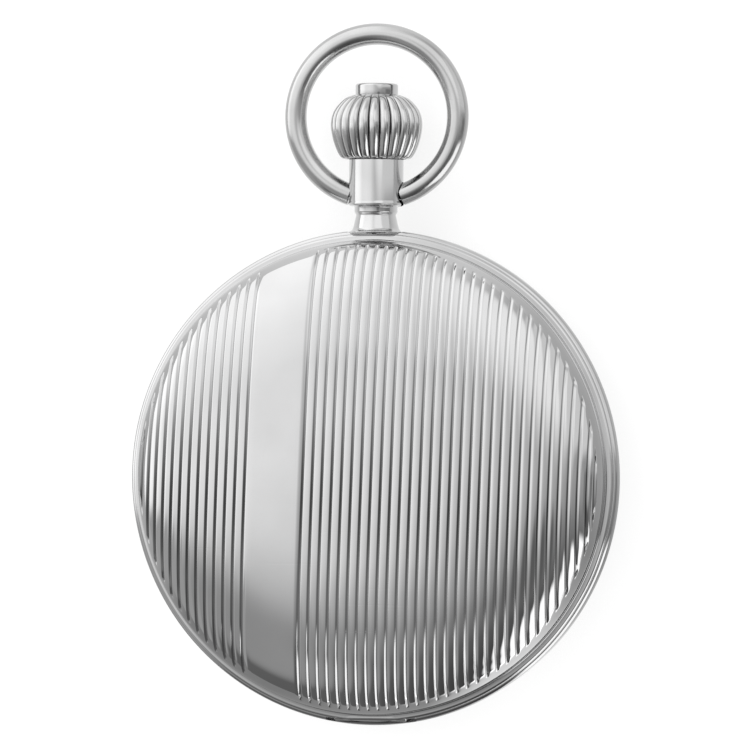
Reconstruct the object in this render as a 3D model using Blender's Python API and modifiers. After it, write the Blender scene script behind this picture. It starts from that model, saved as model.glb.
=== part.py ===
"""Hunter pocket watch with a going-barrel lever movement.

Frame: the watch lies on its back. The origin is the centre of the flat of the rear cover, +Z runs up
through the dial to the front lid, and +Y runs to 12 o'clock, where the pendant, crown and bow are.
Every length in this file is in millimetres and every angle in degrees; MM turns them into metres.
"""

import math

import bmesh
import bpy
from mathutils import Matrix, Vector

MM = 0.001
MERGE = 1e-7

# ---------------------------------------------------------------- driving dimensions
CASE_R = 24.0  # outside of the centre band
MID_Z = 6.6  # plane of the centre band, the stem and the bow
ROUND_STEPS = 40  # facets of the large turned pieces
SMALL_STEPS = 16  # facets of the small turned pieces

# centre band
FLANGE_HALF = 0.95  # half height of the band's visible rim
RING_IN_R, RING_OUT_R = 20.3, 22.2
RING_HALF = 2.6
SHELF_R, SHELF_Z = 20.75, 8.43  # the step that carries the movement holder

# front lid and rear cover
WALL_R = 22.93  # where the lid's wall stands upright
BEAD_R = 23.64  # outside of the lid's rim bead
WALL_FOOT = 1.6  # foot of the wall above the middle plane
SUPER_N = 3.3  # exponent of the shoulder's superellipse
LID_SHOULDER, LID_DOME = 5.4, 0.5
BACK_SHOULDER = 5.25
SHELL = 0.43  # sheet thickness of both covers
LIP_R = 22.28  # the lid's inner lip, which the catch holds
RIM_GAP = 0.03  # a cover's rim above the centre band

# hinges at 6 o'clock
HINGE_Y = -23.25
HINGE_LIFT = 1.0  # hinge axis above or below the middle plane
KNUCKLE_R = 0.5
KNUCKLE_HALF = 1.5  # half length of the cover's knuckle
HINGE_HALF = 3.6
PIN_R, PIN_BORE_R = 0.22, 0.27

# pendant, stem, crown, button and bow, along Y at the middle plane
SPIGOT_R, SLEEVE_BORE_R, NECK_FOOT = 0.92, 0.73, 23.72
STEM_R = 0.42
COLLAR_R, COLLAR_LOW, COLLAR_TOP = 2.65, 26.3, 31.0
SPRING_WELL_R, SPRING_WELL_Y = 1.5, 28.3
CROWN_LOW, CROWN_TOP, CROWN_R, FLUTES = 31.15, 36.95, 4.48, 24
BUTTON_R, BUTTON_TOP = 2.07, 38.2
LEG_X, LEG_R = 1.05, 0.28
BOW_R, BOW_WIRE_R, BOW_Y, BOW_AXIS_Y = 8.0, 1.05, 35.0, 27.45
BOW_PIVOT_R = 0.6

# glass, dial and hands
DIAL_R, DIAL_LOW, DIAL_TOP = 19.5, 9.0, 9.35
GLASS_R = 19.2

# movement: pivots as (x, y) in the plane of the dial, heights as (low, high)
PLATE_R, PLATE_Z = 18.0, (7.0, 8.2)
BRIDGE_Z = (3.9, 5.1)
BARREL = (-7.58, 5.30)
CROWN_WHEEL = (0.0, 11.223)
CENTRE = (0.0, 0.0)
THIRD = (4.094, -4.789)
FOURTH = (0.0, -8.5)
ESCAPE = (-3.84, -12.04)
PALLET = (-6.36, -10.41)
BALANCE = (-9.6, -8.3)
MINUTE = (3.9, 2.6)
SETTING = (3.205, 9.105)
SETTING_LEVER = (2.9, 16.55)
YOKE = (-4.6, 12.45)
BALANCE_R = 5.0
ARBOR_R = 0.22
PIVOT_R = 0.12

# gear trains: teeth and module
TRAIN = {
    "centre": (80, 0.14),
    "third_pinion": (10, 0.14),
    "third": (75, 0.13),
    "fourth_pinion": (10, 0.13),
    "fourth": (80, 0.12),
    "escape_pinion": (8, 0.12),
}
BARREL_TEETH, CENTRE_PINION_TEETH, BARREL_MODULE = 77, 12, 0.2079
RATCHET_TEETH, CROWN_WHEEL_TEETH, WIND_MODULE = 46, 28, 0.26
RATCHET_WELL_R = 6.3


# ---------------------------------------------------------------- scene, materials and helpers
def clear_scene():
    for obj in list(bpy.data.objects):
        bpy.data.objects.remove(obj, do_unlink=True)


def collection(name):
    made = bpy.data.collections.new(name)
    bpy.context.scene.collection.children.link(made)
    return made


def material(name, colour, metallic, roughness, alpha=1.0):
    made = bpy.data.materials.new(name)
    made.use_nodes = True
    shader = made.node_tree.nodes["Principled BSDF"]
    shader.inputs["Base Color"].default_value = (*colour, 1.0)
    shader.inputs["Metallic"].default_value = metallic
    shader.inputs["Roughness"].default_value = roughness
    shader.inputs["Alpha"].default_value = alpha
    return made


clear_scene()
WATCH = collection("hunter_pocket_watch")
CUTTERS = collection("cutters")
MATERIALS = {
    "case": material("case_chrome", (0.78, 0.78, 0.79), 1.0, 0.08),
    "steel": material("polished_steel", (0.62, 0.63, 0.65), 1.0, 0.2),
    "blued": material("blued_steel", (0.06, 0.10, 0.35), 1.0, 0.25),
    "plate": material("rhodium_plate", (0.70, 0.69, 0.66), 1.0, 0.35),
    "brass": material("gilt_brass", (0.83, 0.62, 0.28), 1.0, 0.3),
    "dial": material("white_dial", (0.86, 0.85, 0.81), 0.0, 0.35),
    "glass": material("mineral_glass", (0.9, 0.95, 0.95), 0.0, 0.02, 0.3),
    "jewel": material("ruby", (0.55, 0.03, 0.10), 0.0, 0.1),
}


def metres(*values):
    return tuple(v * MM for v in values)


def keep(obj, slot, home=WATCH):
    """Links obj and gives it its material."""
    home.objects.link(obj)
    obj.data.materials.clear()
    obj.data.materials.append(MATERIALS[slot])
    if isinstance(obj.data, bpy.types.Mesh):
        obj.data.shade_smooth()
        obj.data.set_sharp_from_angle(angle=math.radians(35))
    return obj


def as_cutter(obj):
    """Moves obj out of the model: it only shapes another piece."""
    for home in list(obj.users_collection):
        home.objects.unlink(obj)
    CUTTERS.objects.link(obj)
    obj.hide_render = True
    obj.display_type = "WIRE"
    return obj


def boolean(obj, other, operation):
    modifier = obj.modifiers.new(operation.lower(), "BOOLEAN")
    modifier.operation = operation
    modifier.object = as_cutter(other)
    return obj


def cut(obj, *others):
    for other in others:
        boolean(obj, other, "DIFFERENCE")
    return obj


def join(obj, *others):
    for other in others:
        boolean(obj, other, "UNION")
    return obj


def turned(name, profile, slot, steps=SMALL_STEPS, at=(0.0, 0.0, 0.0), along="Z", spin=0.0):
    """A turned piece. profile is (radius, height) points: an open line from axis to axis, or a closed ring.

    spin turns its facets by a part of one step, so that a bore's corners miss those of what it cuts.
    """
    ring = min(r for r, _ in profile) > 0
    loop = profile + profile[:1] if ring else [(0.0, profile[0][1]), *profile, (0.0, profile[-1][1])]
    area = sum(a[0] * b[1] - b[0] * a[1] for a, b in zip(loop, loop[1:]))
    points = profile if area < 0 else profile[::-1]
    mesh = bpy.data.meshes.new(name)
    edges = [(i, i + 1) for i in range(len(points) - 1)]
    if ring:
        edges.append((len(points) - 1, 0))
    start = math.tau * spin / steps
    mesh.from_pydata([metres(r * math.cos(start), r * math.sin(start), z) for r, z in points], edges, [])
    obj = keep(bpy.data.objects.new(name, mesh), slot)
    screw = obj.modifiers.new("turn", "SCREW")
    screw.steps = screw.render_steps = steps
    screw.use_merge_vertices = True
    screw.merge_threshold = MERGE
    screw.use_smooth_shade = True
    obj.location = metres(*at)
    if along == "Y":
        obj.rotation_euler.x = math.radians(-90)
    elif along == "X":
        obj.rotation_euler.y = math.radians(90)
    return obj


def rod(name, radius, low, high, slot="steel", at=(0.0, 0.0), steps=SMALL_STEPS, along="Z", spin=0.0):
    """A plain cylinder from low to high along an axis. at is the axis's place in the plane across it."""
    home = {"Z": (*at, 0.0), "Y": (at[0], 0.0, at[1]), "X": (0.0, *at)}[along]
    return turned(name, [(0, high), (radius, high), (radius, low), (0, low)], slot, steps, home, along, spin)


def box(name, low, high, slot="steel"):
    mesh = bpy.data.meshes.new(name)
    shape = bmesh.new()
    bmesh.ops.create_cube(shape, size=1.0)
    size = [b - a for a, b in zip(low, high)]
    middle = [(a + b) / 2 for a, b in zip(low, high)]
    bmesh.ops.scale(shape, vec=metres(*size), verts=shape.verts)
    bmesh.ops.translate(shape, vec=metres(*middle), verts=shape.verts)
    shape.to_mesh(mesh)
    shape.free()
    return keep(bpy.data.objects.new(name, mesh), slot)


def plate(name, outlines, heights, slot, at=(0.0, 0.0), turn=0.0):
    """A flat piece with holes: 2D outlines, the first one outside, between two heights."""
    low, high = heights
    curve = bpy.data.curves.new(name, "CURVE")
    curve.dimensions = "2D"
    curve.fill_mode = "BOTH"
    curve.extrude = (high - low) / 2 * MM
    for outline in outlines:
        spline = curve.splines.new("POLY")
        spline.points.add(len(outline) - 1)
        for point, (x, y) in zip(spline.points, outline):
            point.co = (*metres(x, y), 0.0, 1.0)
        spline.use_cyclic_u = True
    source = bpy.data.objects.new(name + "_outline", curve)
    CUTTERS.objects.link(source)
    bpy.context.view_layer.update()
    mesh = bpy.data.meshes.new_from_object(source.evaluated_get(bpy.context.evaluated_depsgraph_get()))
    bpy.data.objects.remove(source)
    shape = bmesh.new()
    shape.from_mesh(mesh)
    bmesh.ops.remove_doubles(shape, verts=shape.verts, dist=MERGE)
    bmesh.ops.recalc_face_normals(shape, faces=shape.faces)
    shape.to_mesh(mesh)
    shape.free()
    mesh.name = name
    obj = keep(bpy.data.objects.new(name, mesh), slot)
    obj.location = metres(*at, (low + high) / 2)
    obj.rotation_euler.z = math.radians(turn)
    return obj


def wire(name, points, radius, slot, cyclic=False):
    """A bent wire along points, with a round section and closed ends."""
    curve = bpy.data.curves.new(name, "CURVE")
    curve.dimensions = "3D"
    curve.bevel_depth = radius * MM
    curve.bevel_resolution = 1
    curve.use_fill_caps = True
    spline = curve.splines.new("POLY")
    spline.points.add(len(points) - 1)
    for point, place in zip(spline.points, points):
        point.co = (*metres(*place), 1.0)
    spline.use_cyclic_u = cyclic
    return keep(bpy.data.objects.new(name, curve), slot)


def hinged(obj, x, y, z):
    """Hangs obj from an empty that stands on its joint's axis."""
    pivot = bpy.data.objects.new(obj.name + "_axis", None)
    pivot.empty_display_size = 0.002
    WATCH.objects.link(pivot)
    pivot.location = metres(x, y, z)
    obj.parent = pivot
    obj.matrix_parent_inverse = Matrix.Translation(pivot.location).inverted()
    return obj


# ---------------------------------------------------------------- outlines
def polar(radius, degrees, centre=(0.0, 0.0)):
    a = math.radians(degrees)
    return (centre[0] + radius * math.cos(a), centre[1] + radius * math.sin(a))


def circle(radius, points=SMALL_STEPS, centre=(0.0, 0.0)):
    return [polar(radius, 360 * i / points, centre) for i in range(points)]


def arc(radius, start, end, points, centre=(0.0, 0.0)):
    return [polar(radius, start + (end - start) * i / (points - 1), centre) for i in range(points)]


def sector(inner, outer, start, end, points):
    """A curved bar between two radii."""
    return arc(outer, start, end, points) + arc(inner, end, start, points)


def capsule(a, b, radius, points=6, end_radius=None):
    """A bar with round ends from a to b."""
    lean = math.degrees(math.atan2(b[1] - a[1], b[0] - a[0]))
    start = arc(radius, lean + 90, lean + 270, points, a)
    return start + arc(end_radius or radius, lean - 90, lean + 90, points, b)


def gear_outline(teeth, module, turn=0.0):
    """Pointed teeth on a pitch circle of radius teeth * module / 2."""
    pitch = teeth * module / 2
    tip, root = pitch + 0.8 * module, pitch - 1.0 * module
    step = 360 / teeth
    outline = []
    for i in range(teeth):
        outline.append(polar(root, turn + i * step - step / 2))
        outline.append(polar(tip, turn + i * step))
    return outline


def spiral(turns, per_turn, inner, outer, thick):
    """A flat strip wound outwards."""
    count = turns * per_turn
    line = [(inner + (outer - inner) * i / count, 360 * i / per_turn) for i in range(count + 1)]
    return [polar(r + thick / 2, a) for r, a in line] + [polar(r - thick / 2, a) for r, a in line[::-1]]


def spoke_windows(inner, outer, spokes, bar, points=5):
    """Openings between straight-sided spokes."""
    windows = []
    for i in range(spokes):
        start, end = 360 * i / spokes, 360 * (i + 1) / spokes
        wide = math.degrees(bar / 2 / outer)
        narrow = math.degrees(bar / 2 / inner)
        windows.append(
            arc(outer, start + wide, end - wide, points) + arc(inner, end - narrow, start + narrow, 3)
        )
    return windows


def superellipse(rise, wide, foot, direction, steps, dome=0.0, top=None):
    """A cover's profile from the middle to the foot of its wall, as (radius, height) points.

    With a top, the curve is cut off there and the middle is flat.
    """
    start = 90.0 if top is None else math.degrees(math.asin((top / rise) ** (SUPER_N / 2)))
    points = [] if top is None else [(0.0, MID_Z + direction * (foot + top))]
    for i in range(steps + 1):
        t = math.radians(start * (1 - i / steps))
        r = wide * math.cos(t) ** (2 / SUPER_N) if i or top else 0.0
        z = rise * math.sin(t) ** (2 / SUPER_N) if i < steps else 0.0
        z += dome * (1 - (r / wide) ** 2)
        points.append((r, MID_Z + direction * (foot + z)))
    return points


# ---------------------------------------------------------------- case
def cover_profile(direction, rise, dome, top, steps, lip):
    """A cover's closed section. direction is 1 for the front lid and -1 for the rear cover."""
    outside = superellipse(rise, WALL_R, WALL_FOOT, direction, steps, dome, top)
    inner_top = None if top is None else top - SHELL - 0.02
    inside = superellipse(rise - SHELL, WALL_R - SHELL, WALL_FOOT, direction, 5, dome, inner_top)
    low = FLANGE_HALF + RIM_GAP
    rim = [
        (WALL_R + 0.12, WALL_FOOT - 0.18),
        (BEAD_R - 0.28, WALL_FOOT - 0.18),
        (BEAD_R - 0.05, WALL_FOOT - 0.3),
        (BEAD_R, low + 0.12),
        (BEAD_R - 0.05, low),
        (WALL_R - SHELL, low),
    ]
    if lip:
        rim[-1:] = [(LIP_R, low), (LIP_R, low + 0.2), (WALL_R - SHELL, low + 0.2)]
    rim = [(r, MID_Z + direction * z) for r, z in rim]
    return outside + rim + inside[::-1]


def front_lid():
    lid = turned("front_lid", cover_profile(1, LID_SHOULDER, LID_DOME, None, 7, True), "case", ROUND_STEPS)
    hinge_z = MID_Z + HINGE_LIFT
    fit_knuckle(lid, hinge_z, 1)
    return hinged(lid, 0, HINGE_Y, hinge_z)


def rear_cover():
    flat = MID_Z - WALL_FOOT
    cover = turned("rear_cover", cover_profile(-1, BACK_SHOULDER, 0.0, flat, 7, False), "case", ROUND_STEPS)
    hinge_z = MID_Z - HINGE_LIFT
    fit_knuckle(cover, hinge_z, -1)
    return hinged(cover, 0, HINGE_Y, hinge_z)


def hinge_rod(name, radius, half, hinge_z, spin=0.0):
    return rod(name, radius, -half, half, at=(HINGE_Y, hinge_z), along="X", steps=12, spin=spin)


def fit_knuckle(cover, hinge_z, direction):
    """Cuts the cover clear of the band's knuckles and gives it its own knuckle on the hinge line."""
    clear = KNUCKLE_R + 0.07
    name = cover.name
    cut(cover, hinge_rod(name + "_relief", clear, HINGE_HALF, hinge_z))
    knuckle = hinge_rod(name + "_knuckle", KNUCKLE_R, KNUCKLE_HALF, hinge_z)
    web_low = hinge_z if direction > 0 else hinge_z - 0.75
    web = box(
        name + "_web",
        (-KNUCKLE_HALF, HINGE_Y - 0.1, web_low),
        (KNUCKLE_HALF, HINGE_Y + 0.72, web_low + 0.75),
    )
    join(cover, knuckle, web)
    return cut(cover, hinge_rod(name + "_bore", PIN_BORE_R, HINGE_HALF, hinge_z, 0.5))


def case_band():
    flange = MID_Z + FLANGE_HALF
    under = MID_Z - FLANGE_HALF
    profile = [
        (SHELF_R, MID_Z + RING_HALF),
        (RING_OUT_R, MID_Z + RING_HALF),
        (RING_OUT_R, flange),
        (CASE_R - 0.25, flange),
        (CASE_R, flange - 0.3),
        (CASE_R, under + 0.3),
        (CASE_R - 0.25, under),
        (RING_OUT_R, under),
        (RING_OUT_R, MID_Z - RING_HALF),
        (RING_IN_R, MID_Z - RING_HALF),
        (RING_IN_R, SHELF_Z),
        (SHELF_R, SHELF_Z),
    ]
    band = turned("case_band", profile, "case", ROUND_STEPS)
    relief = KNUCKLE_R + 0.12
    for direction in (1, -1):
        hinge_z = MID_Z + direction * HINGE_LIFT
        cut(band, hinge_rod(f"band_relief_{direction}", relief, HINGE_HALF, hinge_z))
    for side in (1, -1):
        ends = sorted((side * (KNUCKLE_HALF + 0.08), side * (HINGE_HALF - 0.08)))
        web = box(
            f"band_web_{side}",
            (ends[0] + 0.04, HINGE_Y - 0.31, MID_Z - HINGE_LIFT + 0.17),
            (ends[1] - 0.04, HINGE_Y + 0.31, MID_Z + HINGE_LIFT - 0.17),
        )
        for direction in (1, -1):
            at = (HINGE_Y, MID_Z + direction * HINGE_LIFT)
            join(web, rod(f"band_knuckle_{side}_{direction}", KNUCKLE_R, *ends, at=at, along="X", steps=12))
        for direction in (1, -1):
            bore = hinge_rod(f"band_pin_bore_{side}_{direction}", PIN_BORE_R, 5.0, MID_Z + direction * HINGE_LIFT, 0.5)
            cut(web, bore)
        join(band, web)
    hole = SPIGOT_R + 0.05
    slot = box("spigot_slot", (-hole + 0.06, RING_OUT_R + 0.3, MID_Z - 2), (hole - 0.06, 25.0, MID_Z + 2))
    bore = rod("spigot_bore", hole, 19.0, 25.0, at=(0, MID_Z), along="Y")
    seat = box("neck_seat", (-2.75, NECK_FOOT - 0.04, MID_Z - 2), (2.75, 25.0, MID_Z + 2))
    window = box("catch_window", (-1.4, 19.0, MID_Z + 1.25), (1.1, 22.5, MID_Z + 2.0))
    return cut(band, slot, bore, seat, window)


def hinge_pin(name, direction):
    hinge_z = MID_Z + direction * HINGE_LIFT
    return rod(name, PIN_R, -HINGE_HALF, HINGE_HALF, at=(HINGE_Y, hinge_z), along="X", steps=12)


def bezel(name, direction):
    """The snap ring that holds a glass. direction is 1 for the dial side."""
    reach = 4.7 if direction > 0 else 4.5
    profile = [
        (GLASS_R + 0.06, reach),
        (GLASS_R + 0.95, reach),
        (21.9, reach - 1.5),
        (21.9, RING_HALF + 0.06),
        (19.9, RING_HALF + 0.06),
        (GLASS_R - 0.45, reach - 1.2),
        (GLASS_R - 0.45, reach - 0.82),
        (GLASS_R + 0.06, reach - 0.82),
    ]
    return turned(name, [(r, MID_Z + direction * z) for r, z in profile], "case", ROUND_STEPS)


def crystal(name, direction):
    reach = 4.7 if direction > 0 else 4.5
    low, high = sorted((MID_Z + direction * (reach - 0.76), MID_Z + direction * (reach - 0.06)))
    chamfer = 0.15
    profile = [(0, high), (GLASS_R - chamfer, high), (GLASS_R, high - chamfer), (GLASS_R, low), (0, low)]
    return turned(name, profile, "glass", ROUND_STEPS)


def movement_holder():
    profile = [(18.15, 8.9), (20.65, 8.9), (20.65, 8.48), (18.8, 8.48), (18.8, 4.6), (18.15, 4.6)]
    holder = turned("movement_holder", profile, "brass", ROUND_STEPS)
    return cut(holder, rod("holder_bore", 0.62, 15.0, 22.0, at=(0, MID_Z), along="Y", steps=12))


# ---------------------------------------------------------------- pendant, crown and bow
def pendant():
    profile = [
        (0.0, COLLAR_TOP),
        (COLLAR_R - 0.15, COLLAR_TOP),
        (COLLAR_R, COLLAR_TOP - 0.15),
        (COLLAR_R, COLLAR_LOW + 0.3),
        (COLLAR_R - 0.25, COLLAR_LOW),
        (2.09, COLLAR_LOW),
        (2.09, 25.65),
        (1.93, 25.45),
        (2.2, 24.3),
        (2.6, 23.82),
        (2.6, NECK_FOOT),
        (SPIGOT_R, NECK_FOOT),
        (SPIGOT_R, 20.5),
        (0.0, 20.5),
    ]
    made = turned("pendant", profile, "case", 24, (0, 0, MID_Z), "Y")
    well = rod("spring_well", SPRING_WELL_R, SPRING_WELL_Y, 32.0, at=(0, MID_Z), along="Y")
    bore = rod("sleeve_bore", SLEEVE_BORE_R, 19.0, 32.0, at=(0, MID_Z), along="Y")
    pivots = rod("pivot_holes", BOW_PIVOT_R + 0.06, -3.2, 3.2, at=(BOW_AXIS_Y, MID_Z), along="X", steps=16)
    cut(made, well, bore)
    for side in (1, -1):
        scoop = rod(
            f"scoop_{side}",
            BOW_WIRE_R + 0.22,
            *sorted((side * 2.12, side * 3.2)),
            at=(BOW_AXIS_Y, MID_Z),
            along="X",
        )
        cut(made, scoop)
    # The pivot holes stop short of the bore, so the two drillings don't meet.
    plug = rod("pivot_stop", 1.62, BOW_AXIS_Y - 1.0, BOW_AXIS_Y + 1.0, at=(0, MID_Z), along="Y")
    cut(pivots, plug)
    return cut(made, pivots)


def push_sleeve():
    """The tube round the stem that carries the button's push to the catch."""
    profile = [(0.5, 31.55), (1.36, 31.55), (1.36, 31.15), (0.66, 31.15), (0.66, 20.3), (0.5, 20.3)]
    return turned("push_sleeve", profile, "steel", 16, (0, 0, MID_Z), "Y")


def sleeve_spring():
    """The coil under the sleeve's flange that brings the button back."""
    coils, low, high, radius = 3, SPRING_WELL_Y + 0.2, 30.95, 1.08
    points = []
    for i in range(coils * 9 + 1):
        a = math.tau * i / 9
        y = low + (high - low) * i / (coils * 9)
        points.append((radius * math.cos(a), y, MID_Z + radius * math.sin(a)))
    return wire("sleeve_spring", points, 0.14, "steel")


def winding_stem():
    profile = [
        (0.0, 35.95),
        (STEM_R, 35.95),
        (STEM_R, 16.8),
        (0.26, 16.8),
        (0.26, 16.3),
        (STEM_R, 16.3),
        (STEM_R, 10.6),
        (0.24, 10.4),
        (0.24, 9.7),
        (0.0, 9.7),
    ]
    return turned("winding_stem", profile, "steel", 12, (0, 0, MID_Z), "Y")


def crown():
    """The onion crown: rounded ribs on a turned body, hollow for the button and its legs."""
    outer = [
        (2.9, CROWN_LOW),
        (3.7, 31.4),
        (4.3, 32.6),
        (CROWN_R, 33.8),
        (4.33, 34.8),
        (3.8, 35.75),
        (2.9, 36.6),
        (2.36, CROWN_TOP),
    ]
    profile = [(0.0, CROWN_LOW)] + outer + [(0.0, CROWN_TOP)]
    body = turned("crown", profile[::-1], "case", FLUTES * 2, (0, 0, MID_Z), "Y")
    bpy.context.view_layer.update()
    mesh = bpy.data.meshes.new_from_object(body.evaluated_get(bpy.context.evaluated_depsgraph_get()))
    body.modifiers.clear()
    for vertex in mesh.vertices:
        r = math.hypot(vertex.co.x, vertex.co.y) / MM
        if r < 2.0:
            continue
        swing = abs(math.sin(math.atan2(vertex.co.y, vertex.co.x) * FLUTES / 2))
        depth = 0.3 * min(1.0, (r - 2.0) / 1.5)
        scale = (r - depth * (1 - swing)) / r
        vertex.co.x *= scale
        vertex.co.y *= scale
    body.data = mesh
    bore = rod("crown_bore", 1.62, 30.0, 35.2, at=(0, MID_Z), along="Y")
    stem_hole = rod("crown_stem_hole", STEM_R + 0.04, 35.0, 36.2, at=(0, MID_Z), along="Y", steps=12)
    seat = rod("button_seat", BUTTON_R + 0.07, 36.0, 38.0, at=(0, MID_Z), along="Y")
    cut(body, bore, seat, stem_hole)
    for side in (1, -1):
        at = (side * LEG_X, MID_Z)
        cut(body, rod(f"leg_hole_{side}", LEG_R + 0.07, 35.0, 36.2, at=at, along="Y", steps=12))
    return body


def release_button():
    profile = [
        (0.0, BUTTON_TOP),
        (BUTTON_R - 0.15, BUTTON_TOP),
        (BUTTON_R, BUTTON_TOP - 0.12),
        (BUTTON_R, 36.9),
        (0.0, 36.9),
    ]
    button = turned("release_button", profile, "case", SMALL_STEPS, (0, 0, MID_Z), "Y")
    for side in (1, -1):
        leg = rod(f"button_leg_{side}", LEG_R, 31.6, 37.2, at=(side * LEG_X, MID_Z), along="Y", steps=12)
        join(button, leg)
    return button


def bow():
    """The ring of round wire, open at the pendant, with a pivot stub on each end."""
    end_x = 2.2
    drop = BOW_Y - BOW_AXIS_Y
    start = math.degrees(math.atan2(-drop, end_x + 0.35))
    points = []
    count = 37
    for i in range(count):
        x, y = polar(BOW_R, start + (180 - 2 * start - 180 + 180) * i / (count - 1), (0.0, BOW_Y))
        points.append((x, y, MID_Z))
    ring = wire("bow_wire", points, BOW_WIRE_R, "case")
    ring.data.bevel_resolution = 2
    bpy.context.view_layer.update()
    mesh = bpy.data.meshes.new_from_object(ring.evaluated_get(bpy.context.evaluated_depsgraph_get()))
    bpy.data.objects.remove(ring)
    shape = bmesh.new()
    shape.from_mesh(mesh)
    bmesh.ops.remove_doubles(shape, verts=shape.verts, dist=MERGE)
    shape.to_mesh(mesh)
    shape.free()
    made = keep(bpy.data.objects.new("bow", mesh), "case")
    for side in (1, -1):
        trim = box(
            f"bow_trim_{side}",
            (min(0, side * end_x), BOW_AXIS_Y - 2, MID_Z - 2),
            (max(0, side * end_x), BOW_AXIS_Y + 2, MID_Z + 2),
        )
        cut(made, trim)
    for side in (1, -1):
        ends = sorted((side * 1.72, side * 2.9))
        join(made, rod(f"bow_pivot_{side}", BOW_PIVOT_R, *ends, at=(BOW_AXIS_Y, MID_Z), along="X", steps=16))
    return hinged(made, 0, BOW_AXIS_Y, MID_Z)


# ---------------------------------------------------------------- lid springs
def lock_spring():
    """The curved spring with the catch for the front lid. It turns about its screwed end."""
    leaf = plate("lock_spring", [sector(19.5, 20.1, 40, 97, 13)], (MID_Z - 0.9, MID_Z + 0.9), "steel")
    nose = box("catch_nose", (-0.8, 19.55, MID_Z + 0.8), (0.8, 20.05, MID_Z + 1.8))
    catch = box("catch_tip", (-0.8, 19.55, MID_Z + 1.4), (0.8, 22.42, MID_Z + 1.85))
    join(nose, catch)
    join(leaf, nose)
    return cut(leaf, box("stem_slot", (-0.75, 18.0, MID_Z - 0.5), (0.95, 21.0, MID_Z + 0.5)))


def lift_spring():
    """The spring beside the hinge that throws the lid open."""
    return plate("lift_spring", [sector(19.5, 20.1, 205, 266, 13)], (MID_Z - 0.7, MID_Z + 0.7), "steel")


# ---------------------------------------------------------------- movement
def arbor(name, at, ends, shoulders, radius=ARBOR_R):
    """A staff between two shoulders, with a thin pivot beyond each."""
    profile = [
        (0.0, ends[1]),
        (PIVOT_R, ends[1]),
        (PIVOT_R, shoulders[1]),
        (radius, shoulders[1]),
        (radius, shoulders[0]),
        (PIVOT_R, shoulders[0]),
        (PIVOT_R, ends[0]),
        (0.0, ends[0]),
    ]
    return turned(name, profile, "steel", 8, (*at, 0.0))


def train_arbor(name, at):
    return arbor(name, at, (4.4, 7.9), (BRIDGE_Z[1] + 0.04, PLATE_Z[0] - 0.04))


def train_wheel(name, at, wheel, wheel_z, pinion, pinion_z, spokes, next_wheel, last_wheel):
    """A wheel and a pinion fast on one staff, turned so that both are in mesh with their neighbours."""
    teeth, module = wheel
    rim = teeth * module / 2 - 3.2 * module
    windows = spoke_windows(0.85, rim, spokes, 0.42, 3)
    made = plate(name, [gear_outline(teeth, module, mesh_turn(at, next_wheel, teeth)), *windows], wheel_z, "brass", at)
    outline = gear_outline(*pinion, mesh_turn(at, last_wheel, pinion[0], 0.5))
    leaves = plate(name + "_leaves", [outline], pinion_z, "steel", at)
    return join(made, train_arbor(name + "_staff", at), leaves)


def mesh_turn(centre, other, teeth, phase=0.0):
    """The turn that points a tooth (phase 0) or a gap (phase 0.5) of a gear at centre towards other."""
    lean = math.degrees(math.atan2(other[1] - centre[1], other[0] - centre[0]))
    return lean + phase * 360 / teeth


def main_plate():
    holes = [
        circle(0.58, 12, CENTRE),
        circle(0.17, 8, THIRD),
        circle(0.22, 8, FOURTH),
        circle(0.17, 8, ESCAPE),
        circle(0.17, 8, PALLET),
        circle(0.17, 8, BALANCE),
        circle(0.69, 12, BARREL),
    ]
    made = plate("main_plate", [circle(PLATE_R, ROUND_STEPS), *holes], PLATE_Z, "plate")
    for name, at in (("minute", MINUTE), ("setting", SETTING), ("lever", SETTING_LEVER), ("yoke", YOKE)):
        join(made, rod(name + "_post", 0.3, PLATE_Z[0] + 0.4, 8.7, at=at, steps=10))
    slot = box("keyless_slot", (-1.95, 10.3, 6.5), (1.95, 15.9, 8.5))
    stud_slot = box("stud_slot", (-0.4, 16.1, 6.5), (0.8, 19.0, 8.5))
    bore = rod("stem_bore", STEM_R + 0.06, 9.4, 20.0, at=(0, MID_Z), along="Y", steps=12)
    return cut(made, slot, stud_slot, bore)


def bridge(name, outline, holes, heights=BRIDGE_Z, slot="plate"):
    return plate(name, [outline, *holes], heights, slot)


def click_places():
    return polar(8.6, 197, BARREL), polar(RATCHET_WELL_R + 0.05, 190, BARREL)


def barrel_bridge():
    outline = arc(17.8, 68, 190, 16)
    outline += [(-9.0, -2.6), (-2.3, -1.2), (-1.75, 2.2), (-0.6, 3.5), (3.9, 6.9), (5.6, 10.5)]
    made = bridge("barrel_bridge", outline, [circle(0.69, 12, BARREL)])
    above = BRIDGE_Z[0] - 1
    ratchet_well = plate("ratchet_well", [circle(RATCHET_WELL_R, 32, BARREL)], (above, 4.62), "plate")
    crown_well = plate("crown_wheel_well", [circle(3.98, 28, CROWN_WHEEL)], (above, 4.86), "plate")
    click_well = plate("click_well", [capsule(*click_places(), 0.8)], (above, 4.6), "plate")
    pinion_well = rod("pinion_well", 1.86, 10.2, 15.6, at=(0, MID_Z), along="Y")
    cut(made, ratchet_well, crown_well, click_well, pinion_well)
    return join(made, rod("click_post", 0.2, 4.1, 4.8, at=click_places()[0], steps=10))


def train_bridge():
    outline = (
        arc(17.8, 268, 352, 12)
        + [(9.0, 0.6), (2.8, 2.6), (-1.2, 1.9), (-1.7, -1.4), (-1.2, -6.2), (-2.2, -9.2)]
        + [(-4.6, -10.6), (-5.3, -12.2), (-4.2, -13.6), (-1.5, -14.2)]
    )
    holes = [circle(0.17, 8, place) for place in (CENTRE, THIRD, FOURTH, ESCAPE)]
    return bridge("train_bridge", outline, holes)


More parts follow.
